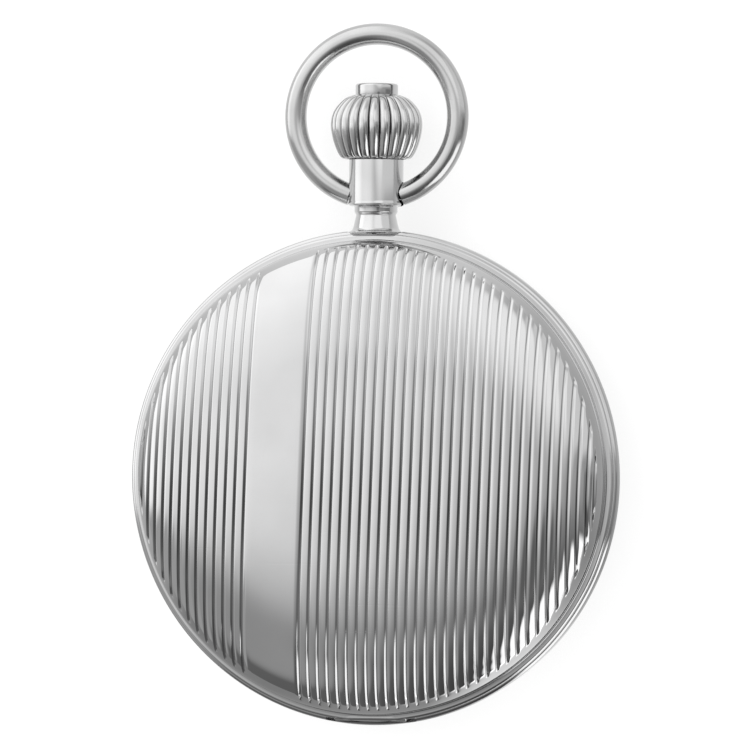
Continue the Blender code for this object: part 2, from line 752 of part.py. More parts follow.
def balance_cock():
    foot = (-7.45, -14.6)
    outline = capsule(BALANCE, foot, 1.55)
    made = bridge("balance_cock", outline, [circle(0.17, 8, BALANCE)], (3.7, 4.5))
    post = plate("cock_foot", [circle(1.3, 14, foot)], (4.4, PLATE_Z[0] - 0.03), "plate")
    boss = plate("cock_boss", [circle(0.41, 12, BALANCE), circle(0.17, 8, BALANCE)], (3.45, 3.8), "plate")
    return join(made, post, boss)


def pallet_cock():
    foot = (-9.2, -12.2)
    made = bridge("pallet_cock", capsule(PALLET, foot, 0.7), [circle(0.17, 8, PALLET)], (5.8, 6.1))
    return join(made, plate("pallet_foot", [circle(0.66, 10, foot)], (6.0, PLATE_Z[0] - 0.03), "plate"))


def pillar(name, at, high_z, low_z=BRIDGE_Z[1]):
    """A bridge's foot, standing between it and the main plate."""
    return plate(name, [circle(1.1, 12, at)], (low_z, high_z), "plate")


def mainspring_barrel():
    turn = mesh_turn(BARREL, CENTRE, BARREL_TEETH)
    outline = gear_outline(BARREL_TEETH, BARREL_MODULE, turn)
    made = plate("mainspring_barrel", [outline, circle(0.7, 12)], (5.7, 6.9), "brass", BARREL)
    return cut(made, plate("barrel_well", [circle(7.1, 28)], (5.0, 6.45), "brass", BARREL))


def barrel_cover():
    return plate("barrel_cover", [circle(6.95, 28), circle(0.7, 12)], (5.72, 5.88), "brass", BARREL)


def mainspring():
    """A spiral strip between the barrel's arbor and its wall."""
    return plate("mainspring", [spiral(4, 13, 1.6, 6.75, 0.2)], (5.95, 6.4), "steel", BARREL)


def barrel_arbor():
    profile = [(0.0, 8.1), (0.6, 8.1), (0.6, 6.4), (1.3, 6.4), (1.3, 5.95), (0.6, 5.95)]
    profile += [(0.6, 4.66), (0.45, 4.66), (0.45, 4.02), (0.0, 4.02)]
    return turned("barrel_arbor", profile, "steel", 12, (*BARREL, 0.0))


def ratchet_wheel():
    outline = gear_outline(RATCHET_TEETH, WIND_MODULE, mesh_turn(BARREL, CROWN_WHEEL, RATCHET_TEETH))
    return plate("ratchet_wheel", [outline, circle(0.5, 12)], (4.02, 4.56), "steel", BARREL)


def crown_wheel():
    turn = mesh_turn(CROWN_WHEEL, BARREL, CROWN_WHEEL_TEETH, 0.5)
    outline = gear_outline(CROWN_WHEEL_TEETH, WIND_MODULE, turn)
    return plate("crown_wheel", [outline, circle(1.05, 14)], (4.02, 4.8), "steel", CROWN_WHEEL)


def screw(name, at, head_z, tip_z, head_r=0.75, core_r=0.35, thick=0.35, slot="blued"):
    """A slotted screw whose head is at head_z, with its shank running to tip_z."""
    away = 1 if tip_z > head_z else -1
    under = head_z + away * thick
    profile = [(0.0, tip_z), (core_r, tip_z), (core_r, under), (head_r, under), (head_r, head_z), (0.0, head_z)]
    made = turned(name, profile, slot, 16, (*at, 0.0))
    low, high = sorted((head_z - away * 0.1, head_z + away * 0.14))
    notch = box(name + "_slot", (at[0] - 0.09, at[1] - 1, low), (at[0] + 0.09, at[1] + 1, high))
    return cut(made, notch)


def click():
    """The pawl that holds the ratchet wheel."""
    pivot, tip = click_places()
    made = plate("click", [capsule(pivot, tip, 0.42)], (4.02, 4.5), "steel")
    cut(made, plate("click_clear", [circle(RATCHET_WELL_R - 0.03, 40, BARREL)], (3.0, 5.0), "steel"))
    cut(made, rod("click_bore", 0.26, 3.0, 6.0, at=pivot, steps=10))
    return hinged(made, *pivot, 4.2)


def centre_wheel():
    teeth, module = TRAIN["centre"]
    outline = gear_outline(teeth, module, mesh_turn(CENTRE, THIRD, teeth))
    windows = spoke_windows(0.9, teeth * module / 2 - 3.4 * module, 4, 0.45, 4)
    made = plate("centre_wheel", [outline, *windows], (5.22, 5.46), "brass", CENTRE)
    turn = mesh_turn(CENTRE, BARREL, CENTRE_PINION_TEETH, 0.5)
    pinion = gear_outline(CENTRE_PINION_TEETH, BARREL_MODULE, turn)
    leaves = plate("centre_leaves", [pinion], (6.42, 6.93), "steel", CENTRE)
    profile = [(0.0, 9.0), (0.3, 9.0), (0.3, 8.3), (0.5, 8.3), (0.5, 5.14), (0.12, 5.14), (0.12, 4.3), (0.0, 4.3)]
    return join(made, leaves, turned("centre_staff", profile, "steel", 12))


def third_wheel():
    teeth, pinion = TRAIN["third"], TRAIN["third_pinion"]
    return train_wheel("third_wheel", THIRD, teeth, (6.12, 6.36), pinion, (5.16, 5.6), 4, FOURTH, CENTRE)


def fourth_wheel():
    teeth, pinion = TRAIN["fourth"], TRAIN["fourth_pinion"]
    made = train_wheel("fourth_wheel", FOURTH, teeth, (5.75, 6.0), pinion, (6.1, 6.5), 4, ESCAPE, THIRD)
    return join(made, rod("seconds_post", 0.16, 6.9, 9.47, at=FOURTH, steps=8))


def escape_wheel():
    """Fifteen teeth that lean forward, above an eight-leaf pinion."""
    step, tip, root = 24, 2.5, 1.95
    outline = []
    for i in range(15):
        outline.append(polar(root, i * step))
        outline.append(polar(root, i * step + 10))
        outline.append(polar(tip, i * step + 19))
    made = plate("escape_wheel", [outline, *spoke_windows(0.6, 1.6, 4, 0.3, 3)], (6.3, 6.55), "steel", ESCAPE)
    pinion = gear_outline(*TRAIN["escape_pinion"], mesh_turn(ESCAPE, FOURTH, 8, 0.5))
    leaves = plate("escape_leaves", [pinion], (5.68, 6.1), "steel", ESCAPE)
    return join(made, leaves, train_arbor("escape_staff", ESCAPE))


def towards(a, b, distance):
    """The point at a distance from a on the way to b."""
    way = Vector((b[0] - a[0], b[1] - a[1])).normalized()
    return (a[0] + way.x * distance, a[1] + way.y * distance)


def pallet_fork():
    """The lever: two pallet arms towards the escape wheel and a slotted fork towards the balance."""
    line = math.degrees(math.atan2(BALANCE[1] - PALLET[1], BALANCE[0] - PALLET[0]))
    heights = (6.3, 6.55)
    fork_end = towards(PALLET, BALANCE, 2.75)
    made = plate("pallet_fork", [capsule(PALLET, fork_end, 0.2, 4)], heights, "steel")
    for side in (1, -1):
        elbow = polar(1.75, line + side * 102, PALLET)
        stone = polar(0.55, line + 180 - side * 8, elbow)
        horn = polar(0.62, line + side * 38, towards(PALLET, BALANCE, 2.55))
        join(
            made,
            plate(f"pallet_arm_{side}", [capsule(PALLET, elbow, 0.22, 4)], heights, "steel"),
            plate(f"pallet_stone_{side}", [capsule(elbow, stone, 0.17, 3)], (6.28, 6.57), "jewel"),
            plate(f"fork_horn_{side}", [capsule(fork_end, horn, 0.12, 3)], (6.29, 6.56), "steel"),
        )
    join(made, arbor("pallet_staff", PALLET, (5.82, 7.9), (6.14, PLATE_Z[0] - 0.04), 0.2))
    return hinged(made, *PALLET, 6.4)


def balance_wheel():
    """A rim with two arms, a staff, a roller and the impulse pin."""
    windows = spoke_windows(0.7, BALANCE_R - 0.55, 2, 0.6, 10)
    made = plate("balance_wheel", [circle(BALANCE_R, 32), *windows], (5.2, 5.62), "brass", BALANCE, 25)
    roller = rod("roller", 0.95, 6.66, 6.8, at=BALANCE, steps=16)
    pin = rod("impulse_pin", 0.1, 6.3, 6.75, at=towards(BALANCE, PALLET, 0.68), steps=6)
    return join(made, arbor("balance_staff", BALANCE, (4.0, 7.9), (4.54, PLATE_Z[0] - 0.04), 0.2), roller, pin)


def hairspring():
    return plate("hairspring", [spiral(5, 12, 0.55, 2.9, 0.09)], (4.72, 4.95), "blued", BALANCE)


def regulator():
    """The index on the cock, which sets how much of the hairspring works."""
    outline = arc(0.8, 145, 471, 12) + [(-1.74, 1.86)]
    return plate("regulator", [outline, circle(0.45, 12)], (3.5, 3.66), "steel", BALANCE)


def sliding_pinion():
    """The clutch: square-driven by the stem, with a groove for the yoke."""
    profile = [(0.47, 13.45), (1.15, 13.45), (1.15, 12.8), (0.8, 12.8), (0.8, 12.1), (1.15, 12.1), (1.15, 11.5)]
    return turned("sliding_pinion", profile + [(0.47, 11.5)], "steel", 16, (0, 0, MID_Z), "Y")


def winding_pinion():
    made = plate("winding_pinion", [gear_outline(18, 0.175), circle(0.47, 16)], (-0.85, 0.85), "steel")
    made.location = metres(0, 14.45, MID_Z)
    made.rotation_euler.x = math.radians(90)
    return made


def studded_lever(name, pivot, tip, radius, stud_low):
    """A flat lever on the dial side of the plate, with a stud that reaches down to the stem line."""
    made = plate(name, [capsule(pivot, tip, 0.6, 6, radius), circle(0.36, 10, pivot)], (8.25, 8.5), "steel")
    join(made, rod(name + "_stud", 0.2, stud_low, 8.4, at=tip, steps=8))
    return hinged(made, *pivot, 8.35)


def setting_wheel():
    outline = gear_outline(31, motion_module(), mesh_turn(SETTING, MINUTE, 31, 0.5))
    return plate("setting_wheel", [outline, circle(0.36, 10)], (8.33, 8.6), "steel", SETTING)


def motion_module():
    """The module of the minute wheel, which meets the cannon pinion's 12 teeth with its own 36."""
    return 2 * math.hypot(*MINUTE) / 48


def cannon_pinion():
    outline = gear_outline(12, motion_module(), mesh_turn(CENTRE, MINUTE, 12, 0.5))
    made = plate("cannon_pinion", [outline], (8.33, 8.7), "steel")
    join(made, rod("cannon_pipe", 0.52, 8.4, 10.15))
    return cut(made, rod("cannon_bore", 0.36, 8.0, 9.1, steps=12))


def minute_wheel():
    """Carries the motion from the cannon pinion to the hour wheel at a twelfth of the speed."""
    outline = gear_outline(36, motion_module(), mesh_turn(MINUTE, CENTRE, 36))
    made = plate("minute_wheel", [outline], (8.33, 8.6), "brass", MINUTE)
    pinion = gear_outline(10, 2 * math.hypot(*MINUTE) / 50, mesh_turn(MINUTE, CENTRE, 10, 0.5))
    join(made, plate("minute_leaves", [pinion], (8.55, 8.93), "steel", MINUTE))
    return cut(made, rod("minute_bore", 0.36, 8.0, 9.5, at=MINUTE, steps=10))


def hour_wheel():
    module = 2 * math.hypot(*MINUTE) / 50
    outline = gear_outline(40, module, mesh_turn(CENTRE, MINUTE, 40))
    made = plate("hour_wheel", [outline, circle(0.6)], (8.75, 8.93), "brass")
    pipe = [(0.6, 9.8), (0.85, 9.8), (0.85, 8.8), (0.6, 8.8)]
    return join(made, turned("hour_pipe", pipe, "brass"))


def dial():
    holes = [circle(1.05, 20), circle(0.34, 12, FOURTH)]
    return plate("dial", [circle(DIAL_R, ROUND_STEPS), *holes], (DIAL_LOW, DIAL_TOP), "dial")


def hand(name, length, width, tail, heights, hub, bore, at=(0.0, 0.0), turn=0.0):
    """A leaf-shaped hand pointing along +Y before it is turned."""
    blade = [(-width / 2, length * 0.3), (-width * 0.9, length * 0.62), (0.0, length), (width * 0.9, length * 0.62)]
    blade += [(width / 2, length * 0.3), (width / 2, -tail), (-width / 2, -tail)]
    made = plate(name, [blade], heights, "blued", at, turn)
    boss = plate(name + "_hub", [circle(hub, 16)], heights, "blued", at)
    join(made, boss)
    if bore:
        cut(made, rod(name + "_bore", bore, heights[0] - 1, heights[1] + 1, at=at, steps=16))
    return made


# ---------------------------------------------------------------- assembly
def build_case():
    front_lid()
    rear_cover()
    case_band()
    hinge_pin("front_hinge_pin", 1)
    hinge_pin("rear_hinge_pin", -1)
    bezel("front_bezel", 1)
    bezel("rear_bezel", -1)
    crystal("front_crystal", 1)
    crystal("rear_crystal", -1)
    movement_holder()
    pendant()
    push_sleeve()
    sleeve_spring()
    winding_stem()
    crown()
    release_button()
    bow()
    lock_spring()
    lift_spring()


def build_movement():
    main_plate()
    made = barrel_bridge()
    high = PLATE_Z[0] - 0.03
    for i, place in enumerate([polar(16.4, 112), polar(16.3, 184)]):
        join(made, pillar(f"barrel_pillar_{i}", place, high, BRIDGE_Z[1] - 0.1))
    made = train_bridge()
    for i, place in enumerate([polar(16.2, 282), polar(16.2, 342)]):
        join(made, pillar(f"train_pillar_{i}", place, high, BRIDGE_Z[1] - 0.1))
    balance_cock()
    pallet_cock()
    mainspring_barrel()
    barrel_cover()
    mainspring()
    barrel_arbor()
    ratchet_wheel()
    crown_wheel()
    click()
    centre_wheel()
    third_wheel()
    fourth_wheel()
    escape_wheel()
    pallet_fork()
    balance_wheel()
    hairspring()
    regulator()
    sliding_pinion()
    winding_pinion()
    studded_lever("setting_lever", SETTING_LEVER, (0.0, SETTING_LEVER[1]), 0.3, 6.92)
    studded_lever("yoke", YOKE, (0.0, YOKE[1]), 0.32, 7.46)
    setting_wheel()
    cannon_pinion()
    minute_wheel()
    hour_wheel()
    screw("ratchet_screw", BARREL, 3.6, 4.0, 0.9, 0.4, 0.38)
    screw("crown_wheel_screw", CROWN_WHEEL, 3.65, 4.75, 1.3, 0.98, 0.34)


def build_display():
    dial()
    hand("hour_hand", 10.0, 0.85, 0.0, (9.53, 9.68), 1.25, 0.88, turn=55)
    hand("minute_hand", 15.2, 0.7, 0.0, (9.9, 10.05), 0.95, 0.55, turn=-60)
    hand("second_hand", 3.6, 0.24, 1.2, (9.39, 9.45), 0.4, 0.18, FOURTH, 150)


build_case()
build_movement()
build_display()
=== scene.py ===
"""The looks of the hunter pocket watch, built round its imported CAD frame.

Lengths are millimetres in the frame of the CAD model until MM turns them into metres, and angles are
degrees: the watch lies on its back, +Z runs out through the front lid and +Y to the crown at 12 o'clock.
"""

from math import acos, asin, atan2, copysign, cos, degrees, exp, hypot, pi, radians, sin, sqrt, tau

import bmesh
import bpy
from mathutils import Matrix, Vector


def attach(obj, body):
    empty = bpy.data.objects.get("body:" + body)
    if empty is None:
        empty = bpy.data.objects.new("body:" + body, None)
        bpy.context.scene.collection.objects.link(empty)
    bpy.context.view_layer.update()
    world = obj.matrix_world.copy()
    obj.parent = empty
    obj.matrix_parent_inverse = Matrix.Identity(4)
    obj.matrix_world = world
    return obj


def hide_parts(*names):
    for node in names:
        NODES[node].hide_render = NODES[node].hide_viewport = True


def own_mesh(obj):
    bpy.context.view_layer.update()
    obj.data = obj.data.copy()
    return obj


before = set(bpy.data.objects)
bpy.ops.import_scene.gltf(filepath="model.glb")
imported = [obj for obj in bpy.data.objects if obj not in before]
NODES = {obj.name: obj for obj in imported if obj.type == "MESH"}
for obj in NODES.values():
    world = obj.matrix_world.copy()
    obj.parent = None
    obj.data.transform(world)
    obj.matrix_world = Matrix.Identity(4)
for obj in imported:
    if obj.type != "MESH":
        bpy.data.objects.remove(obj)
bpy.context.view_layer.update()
MM = 0.001

# ---------------------------------------------------------------- dimensions shared with the CAD model
MID_Z = 6.6
FLANGE_HALF = 0.95
RIM_FOOT = FLANGE_HALF + 0.03
WALL_R, WALL_FOOT, SUPER_N = 22.93, 1.6, 3.3
LID_SHOULDER, LID_DOME, BACK_SHOULDER = 5.4, 0.5, 5.25
SHELL = 0.43
HINGE_Y, HINGE_LIFT, HINGE_HALF, HINGE_REACH = -23.25, 1.0, 3.6, 4.45
KNUCKLE_R, KNUCKLE_HALF = 0.33, 1.5
BOW_R, BOW_WIRE_R, BOW_Y, BOW_AXIS_Y, BOW_END_X = 8.0, 1.05, 35.0, 27.45, 2.2
GLASS_R = 19.2
FRONT_REACH, REAR_REACH = 4.7, -4.5
DIAL_FACE, PRINT_HIGH, PRINT_ROOT = 9.35, 0.025, 0.03
BRIDGES, PILLAR_TOP, PLATE = (3.9, 5.1), 6.97, (7.0, 8.2)
CENTRE, BARREL, CROWN_WHEEL = (0.0, 0.0), (-7.58, 5.30), (0.0, 11.223)
THIRD, FOURTH, ESCAPE = (4.094, -4.789), (0.0, -8.5), (-3.84, -12.04)
PALLET, BALANCE = (-6.36, -10.41), (-9.6, -8.3)
COCK_FOOT, PALLET_FOOT = (-7.45, -14.6), (-9.2, -12.2)
RATCHET_TEETH, CROWN_WHEEL_TEETH, WINDING_MODULE = 46, 28, 0.26

# ---------------------------------------------------------------- the lid's engine-turned grooves
ORNAMENT_R, ORNAMENT_TURN = 22.5, -1.9
GROOVE_START, GROOVE_PITCH = -5.58, 0.958
LEFT_GROOVES, RIGHT_GROOVES = range(-18, -5), range(0, 31)
GROOVE_HALF, GROOVE_DEPTH = 0.165, 0.15
# The furthest middle line and edge that a groove may have.
GROOVE_LAST, GROOVE_EDGE = 22.28, 22.45
# A groove runs out over the first length, with a deeper spot at the second that is the third wide.
RUN_OUT, DIMPLE, DIMPLE_WIDE = 0.24, 0.34, 0.14
# Across a groove: (share of its half width, share of its depth, share of the painted shade).
GROOVE_SECTION = (
    (-1.0, 0.08, 0.1), (-0.88, 0.16, 0.7), (-0.1, 0.96, 1.0), (0.06, 1.0, 1.0),
    (0.22, 0.92, 0.5), (0.8, 0.42, 0.0), (1.0, 0.26, 0.0),
)  # fmt: skip
# Across a land between two grooves: (share of its width, drop below its crown).
LAND_SECTION = ((0.09, 0.018), (0.2, 0.0055), (0.38, 0.0), (0.66, 0.001), (0.86, 0.005), (0.95, 0.0095))
LID_ROWS, PLAIN_COLUMNS = 76, 14


# ---------------------------------------------------------------- materials
WAVE_UNIT = 20.0  # Blender's wave texture repeats every tau / 20 of its vector
SCRATCHES = (((90.0, 4200.0, 90.0), 24.0), ((5200.0, 110.0, 110.0), -17.0))


class Nodes:
    """Adds nodes to a tree. An input is another node's socket or a plain value."""

    def __init__(self, tree):
        self.tree = tree

    def feed(self, node, inputs):
        for socket, value in inputs.items():
            if isinstance(value, bpy.types.NodeSocket):
                self.tree.links.new(value, node.inputs[socket])
            else:
                node.inputs[socket].default_value = value

    def add(self, kind, inputs=None, **settings):
        node = self.tree.nodes.new("ShaderNode" + kind)
        for key, value in settings.items():
            setattr(node, key, value)
        self.feed(node, inputs or {})
        return node

    def math(self, operation, a, b=0.0, clamp=False):
        return self.add("Math", {0: a, 1: b}, operation=operation, use_clamp=clamp).outputs[0]

    def weighed(self, a, share_a, b, share_b):
        return self.math("ADD", self.math("MULTIPLY", a, share_a), self.math("MULTIPLY", b, share_b))

    def span(self, value, low, high, to_low, to_high, smooth=False):
        inputs = {"Value": value, "From Min": low, "From Max": high, "To Min": to_low, "To Max": to_high}
        kind = "SMOOTHSTEP" if smooth else "LINEAR"
        return self.add("MapRange", inputs, interpolation_type=kind).outputs["Result"]

    def ramp(self, value, stops):
        node = self.add("ValToRGB", {"Fac": value})
        elements = node.color_ramp.elements
        while len(elements) < len(stops):
            elements.new(0.5)
        for element, (place, colour) in zip(elements, stops):
            element.position = place
            element.color = (*colour, 1.0)
        return node.outputs["Color"]

    def noise(self, vector, scale, detail=4.0):
        return self.add("TexNoise", {"Vector": vector, "Scale": scale, "Detail": detail}).outputs["Fac"]

    def stretched(self, vector, scale, turn):
        inputs = {"Vector": vector, "Scale": scale, "Rotation": (0.0, 0.0, radians(turn))}
        return self.add("Mapping", inputs).outputs["Vector"]

    def streaks(self, vector, scale, turn, detail):
        return self.noise(self.stretched(vector, scale, turn), 1.0, detail)

    def wave(self, vector, pitch, **settings):
        inputs = {"Vector": vector, "Scale": tau / (WAVE_UNIT * pitch * MM), "Distortion": 0.0}
        return self.add("TexWave", inputs, **settings).outputs["Fac"]

    def relief(self, height, depth, under=None, invert=False):
        """The normal of a bump that is depth millimetres deep, on top of another normal or none."""
        inputs = {"Height": height, "Distance": depth * MM}
        if under is not None:
            inputs["Normal"] = under
        return self.add("Bump", inputs, invert=invert).outputs["Normal"]


def new_material(name):
    made = bpy.data.materials.new(name)
    made.use_nodes = True
    nodes = Nodes(made.node_tree)
    return made, nodes, made.node_tree.nodes["Principled BSDF"], nodes.add("TexCoord").outputs["Object"]


def tinted(colour, share):
    return tuple(min(1.0, c * share) for c in colour)


def metal(name, colour, roughness, smudge, scratch, darker, grain=None):
    """Worn metal: smudges in the roughness, faint colour drift and fine scratches across each other.

    scratch is the scratches' depth, darker the darkest share of the colour, and grain an optional
    (scale xyz, turn, depth) for a brushed direction. The attribute painted_shade darkens what it marks, as
    painted shade.
    """
    made, nodes, shader, place = new_material(name)
    broad = nodes.noise(place, 160.0, 3.0)
    fine = nodes.noise(place, 2600.0, 2.0)
    shade = nodes.ramp(broad, [(0.28, tinted(colour, darker)), (0.62, colour), (1.0, tinted(colour, 1.04))])
    painted_shade = nodes.add("Attribute", attribute_name="painted_shade").outputs["Fac"]
    # Painted shade: the marked places are mixed towards a near-black copy of the colour.
    shaded = nodes.add("Mix", data_type="RGBA")
    nodes.feed(shaded, {0: painted_shade, 6: shade, 7: (*tinted(colour, 0.06), 1.0)})
    patch = nodes.span(broad, 0.35, 0.75, roughness, roughness + smudge)
    speck = nodes.span(fine, 0.3, 0.8, -smudge / 4, smudge / 2)
    lines = [nodes.streaks(place, scale, turn, 1.0) for scale, turn in SCRATCHES]
    marks = [nodes.span(line, 0.68, 0.76, 0.0, 1.0) for line in lines]
    normal = nodes.relief(nodes.math("MAXIMUM", *marks), scratch, invert=True)
    if grain:
        scale, turn, depth = grain
        normal = nodes.relief(nodes.streaks(place, scale, turn, 3.0), depth, normal)
    rough = nodes.math("ADD", patch, speck, True)
    nodes.feed(shader, {"Metallic": 1.0, "Base Color": shaded.outputs[2], "Roughness": rough, "Normal": normal})
    return made


def striped_metal(name, colour, pitch, turn):
    """Plated metal with broad parallel polishing stripes."""
    made, nodes, shader, place = new_material(name)
    along = nodes.stretched(place, (1.0, 1.0, 1.0), turn)
    band = nodes.wave(along, pitch, wave_type="BANDS", bands_direction="X", wave_profile="SAW")
    lines = nodes.streaks(place, (900.0, 26000.0, 900.0), turn, 2.0)
    shade = nodes.ramp(band, [(0.0, tinted(colour, 0.72)), (0.25, colour), (0.9, tinted(colour, 1.1))])
    rough = nodes.math("ADD", nodes.span(band, 0, 1, 0.2, 0.34), nodes.span(lines, 0.3, 0.7, 0, 0.1))
    normal = nodes.relief(nodes.weighed(band, 0.8, lines, 0.2), 0.02)
    nodes.feed(shader, {"Metallic": 1.0, "Base Color": shade, "Roughness": rough, "Normal": normal})
    return made


def snailed_metal(name, colour, centre, pitch=0.26):
    """Polished steel with circular graining round a wheel's own axis."""
    made, nodes, shader, place = new_material(name)
    home = (-centre[0] * MM, -centre[1] * MM, 0.0)
    around = nodes.add("Mapping", {"Vector": place, "Location": home}).outputs["Vector"]
    ring = nodes.wave(around, pitch, wave_type="RINGS", rings_direction="Z", wave_profile="SIN")
    broad = nodes.noise(place, 500.0, 3.0)
    tone = nodes.weighed(ring, 0.6, broad, 0.4)
    shade = nodes.ramp(tone, [(0.15, tinted(colour, 0.82)), (0.75, colour)])
    rough = nodes.span(broad, 0.3, 0.7, 0.17, 0.26)
    normal = nodes.relief(ring, 0.004)
    nodes.feed(shader, {"Metallic": 1.0, "Base Color": shade, "Roughness": rough, "Normal": normal})
    return made


def spotted_metal(name, colour, pitch):
    """Plated metal with overlapping round polishing marks."""
    made, nodes, shader, place = new_material(name)
    inputs = {"Vector": place, "Scale": 1.0 / (pitch * MM), "Randomness": 0.12}
    away = nodes.add("TexVoronoi", voronoi_dimensions="2D", feature="F1")
    nodes.feed(away, inputs)
    away = away.outputs["Distance"]
    rings = nodes.math("SINE", nodes.math("MULTIPLY", away, 60.0))
    broad = nodes.noise(place, 400.0)
    tone = nodes.math("ADD", nodes.span(rings, -1, 1, 0.0, 0.5), nodes.span(broad, 0.3, 0.7, 0.0, 0.4))
    shade = nodes.ramp(tone, [(0.0, tinted(colour, 0.75)), (0.8, colour)])
    rough = nodes.span(away, 0.0, 0.7, 0.22, 0.42)
    normal = nodes.relief(rings, 0.006)
    nodes.feed(shader, {"Metallic": 1.0, "Base Color": shade, "Roughness": rough, "Normal": normal})
    return made


def enamel(name, colour, roughness=0.22):
    """Fired enamel: a soft orange-peel surface with faint tone drift under a clear coat."""
    made, nodes, shader, place = new_material(name)
    broad = nodes.noise(place, 220.0, 3.0)
    dust = nodes.noise(place, 5200.0, 2.0)
    shade = nodes.ramp(broad, [(0.3, tinted(colour, 0.93)), (0.7, colour)])
    rough = nodes.span(dust, 0.3, 0.8, roughness, roughness + 0.12)
    normal = nodes.relief(nodes.weighed(broad, 0.7, dust, 0.3), 0.004)
    nodes.feed(shader, {"Coat Weight": 0.6, "Coat Roughness": 0.06})
    nodes.feed(shader, {"Base Color": shade, "Roughness": rough, "Normal": normal})
    return made


def clear(name, colour, ior, roughness):
    """Glass or ruby, with polishing marks that catch the light."""
    made, nodes, shader, place = new_material(name)
    shade = nodes.ramp(nodes.noise(place, 140.0, 2.0), [(0.3, tinted(colour, 0.97)), (0.7, colour)])
    marks = nodes.streaks(place, (120.0, 5200.0, 120.0), 31.0, 1.0)
    rough = nodes.span(marks, 0.62, 0.8, roughness, roughness + 0.06)
    nodes.feed(shader, {"Transmission Weight": 1.0, "IOR": ior, "Base Color": shade, "Roughness": rough})
    return made


CHROME, SNAILED = (0.6, 0.6, 0.602), (0.6, 0.6, 0.6)
CROWN_GRAIN, BRASS_GRAIN = ((900.0, 700.0, 900.0), 0.0, 0.02), ((4200.0, 700.0, 700.0), 12.0, 0.003)
LOOKS = {
    "chrome": metal("lid_chrome", CHROME, 0.035, 0.03, 0.00035, 0.94),
    "case": metal("case_chrome_polished", CHROME, 0.055, 0.05, 0.0006, 0.9),
    "satin": metal("crown_satin_chrome", (0.66, 0.66, 0.66), 0.1, 0.08, 0.0012, 0.8, CROWN_GRAIN),
    "wire": metal("bow_drawn_chrome", (0.57, 0.57, 0.57), 0.12, 0.08, 0.0012, 0.84),
    "inside": metal("lid_inside_chrome", (0.62, 0.62, 0.62), 0.17, 0.08, 0.001, 0.9),
    "steel": metal("steel_polished", (0.56, 0.57, 0.59), 0.14, 0.08, 0.002, 0.85),
    "ratchet_steel": snailed_metal("steel_snailed_ratchet", SNAILED, BARREL),
    "crown_wheel_steel": snailed_metal("steel_snailed_crown_wheel", SNAILED, CROWN_WHEEL),
    "blued": metal("steel_blued", (0.022, 0.045, 0.25), 0.16, 0.07, 0.001, 0.6),
    "brass": metal("brass_gilt", (0.86, 0.62, 0.27), 0.2, 0.1, 0.002, 0.86, BRASS_GRAIN),
    "striped": striped_metal("plate_striped", (0.62, 0.61, 0.585), 1.35, 62.0),
    "spotted": spotted_metal("plate_spotted", (0.6, 0.59, 0.57), 0.85),
    "enamel": enamel("dial_white", (0.88, 0.87, 0.83)),
    "print": enamel("dial_print", (0.012, 0.012, 0.014), 0.3),
    "glass": clear("crystal_mineral", (0.985, 0.995, 0.99), 1.52, 0.0),
    "ruby": clear("ruby_jewel", (0.72, 0.02, 0.09), 1.77, 0.02),
}


# ---------------------------------------------------------------- outlines
def polar(radius, angle, centre=CENTRE):
    a = radians(angle)
    return (centre[0] + radius * cos(a), centre[1] + radius * sin(a))


def circle(radius, points=48, centre=CENTRE):
    return [polar(radius, 360 * i / points, centre) for i in range(points)]


def arc(radius, start, end, points, centre=CENTRE):
    return [polar(radius, start + (end - start) * i / (points - 1), centre) for i in range(points)]


def lean_of(a, b):
    return degrees(atan2(b[1] - a[1], b[0] - a[0]))


def capsule(a, b, radius, points=14, end_radius=None):
    lean = lean_of(a, b)
    start = arc(radius, lean + 90, lean + 270, points, a)
    return start + arc(end_radius or radius, lean - 90, lean + 90, points, b)


def towards(a, b, distance):
    way = Vector((b[0] - a[0], b[1] - a[1])).normalized()
    return (a[0] + way.x * distance, a[1] + way.y * distance)


def bar(a, b, wide):
    way = (Vector(b) - Vector(a)).normalized()
    side = Vector((-way.y, way.x)) * wide / 2
    return [tuple(Vector(a) - side), tuple(Vector(b) - side), tuple(Vector(b) + side), tuple(Vector(a) + side)]


def both_sides(near, far):
    """A span along X and its mirror image, each from low to high."""
    return (near, far), (-far, -near)


def rounded(points, radius, steps=3, closed=True):
    """Rounds the corners of an outline or a profile."""
    count = len(points)
    made = []
    for i, p in enumerate(points):
        here = Vector(p)
        back = Vector(points[i - 1]) - here
        ahead = Vector(points[(i + 1) % count]) - here
        end = not closed and i in (0, count - 1)
        if end or min(back.length, ahead.length) < 1e-6 or abs(back.angle(ahead, pi) - pi) < 0.12:
            made.append(p)
            continue
        reach = min(radius, back.length * 0.45, ahead.length * 0.45)
        a = here + back.normalized() * reach
        b = here + ahead.normalized() * reach
        for k in range(steps + 1):
            t = k / steps
            made.append(tuple(a * (1 - t) ** 2 + here * (2 * t * (1 - t)) + b * t**2))
    return made


def smooth_line(points, per_span):
    """A Catmull-Rom curve through the points."""
    made = []
    for i in range(len(points) - 1):
        p0 = Vector(points[max(i - 1, 0)])
        p1, p2 = Vector(points[i]), Vector(points[i + 1])
        p3 = Vector(points[min(i + 2, len(points) - 1)])
        for k in range(per_span):
            t = k / per_span
            square = (p0 * 2 - p1 * 5 + p2 * 4 - p3) * t**2
            cube = (p1 * 3 - p0 - p2 * 3 + p3) * t**3
            made.append(tuple((p1 * 2 + (p2 - p0) * t + square + cube) / 2))
    return [*made, tuple(points[-1])]


# ---------------------------------------------------------------- meshes
def in_scene(name, data):
    obj = bpy.data.objects.new(name, data)
    bpy.context.scene.collection.objects.link(obj)
    return obj


def mesh_of(name, verts, faces):
    mesh = bpy.data.meshes.new(name)
    mesh.from_pydata([(x * MM, y * MM, z * MM) for x, y, z in verts], [], faces)
    return mesh


def applied(obj):
    """The mesh that a curve or an object with modifiers comes out as."""
    bpy.context.view_layer.update()
    return bpy.data.meshes.new_from_object(obj.evaluated_get(bpy.context.evaluated_depsgraph_get()))


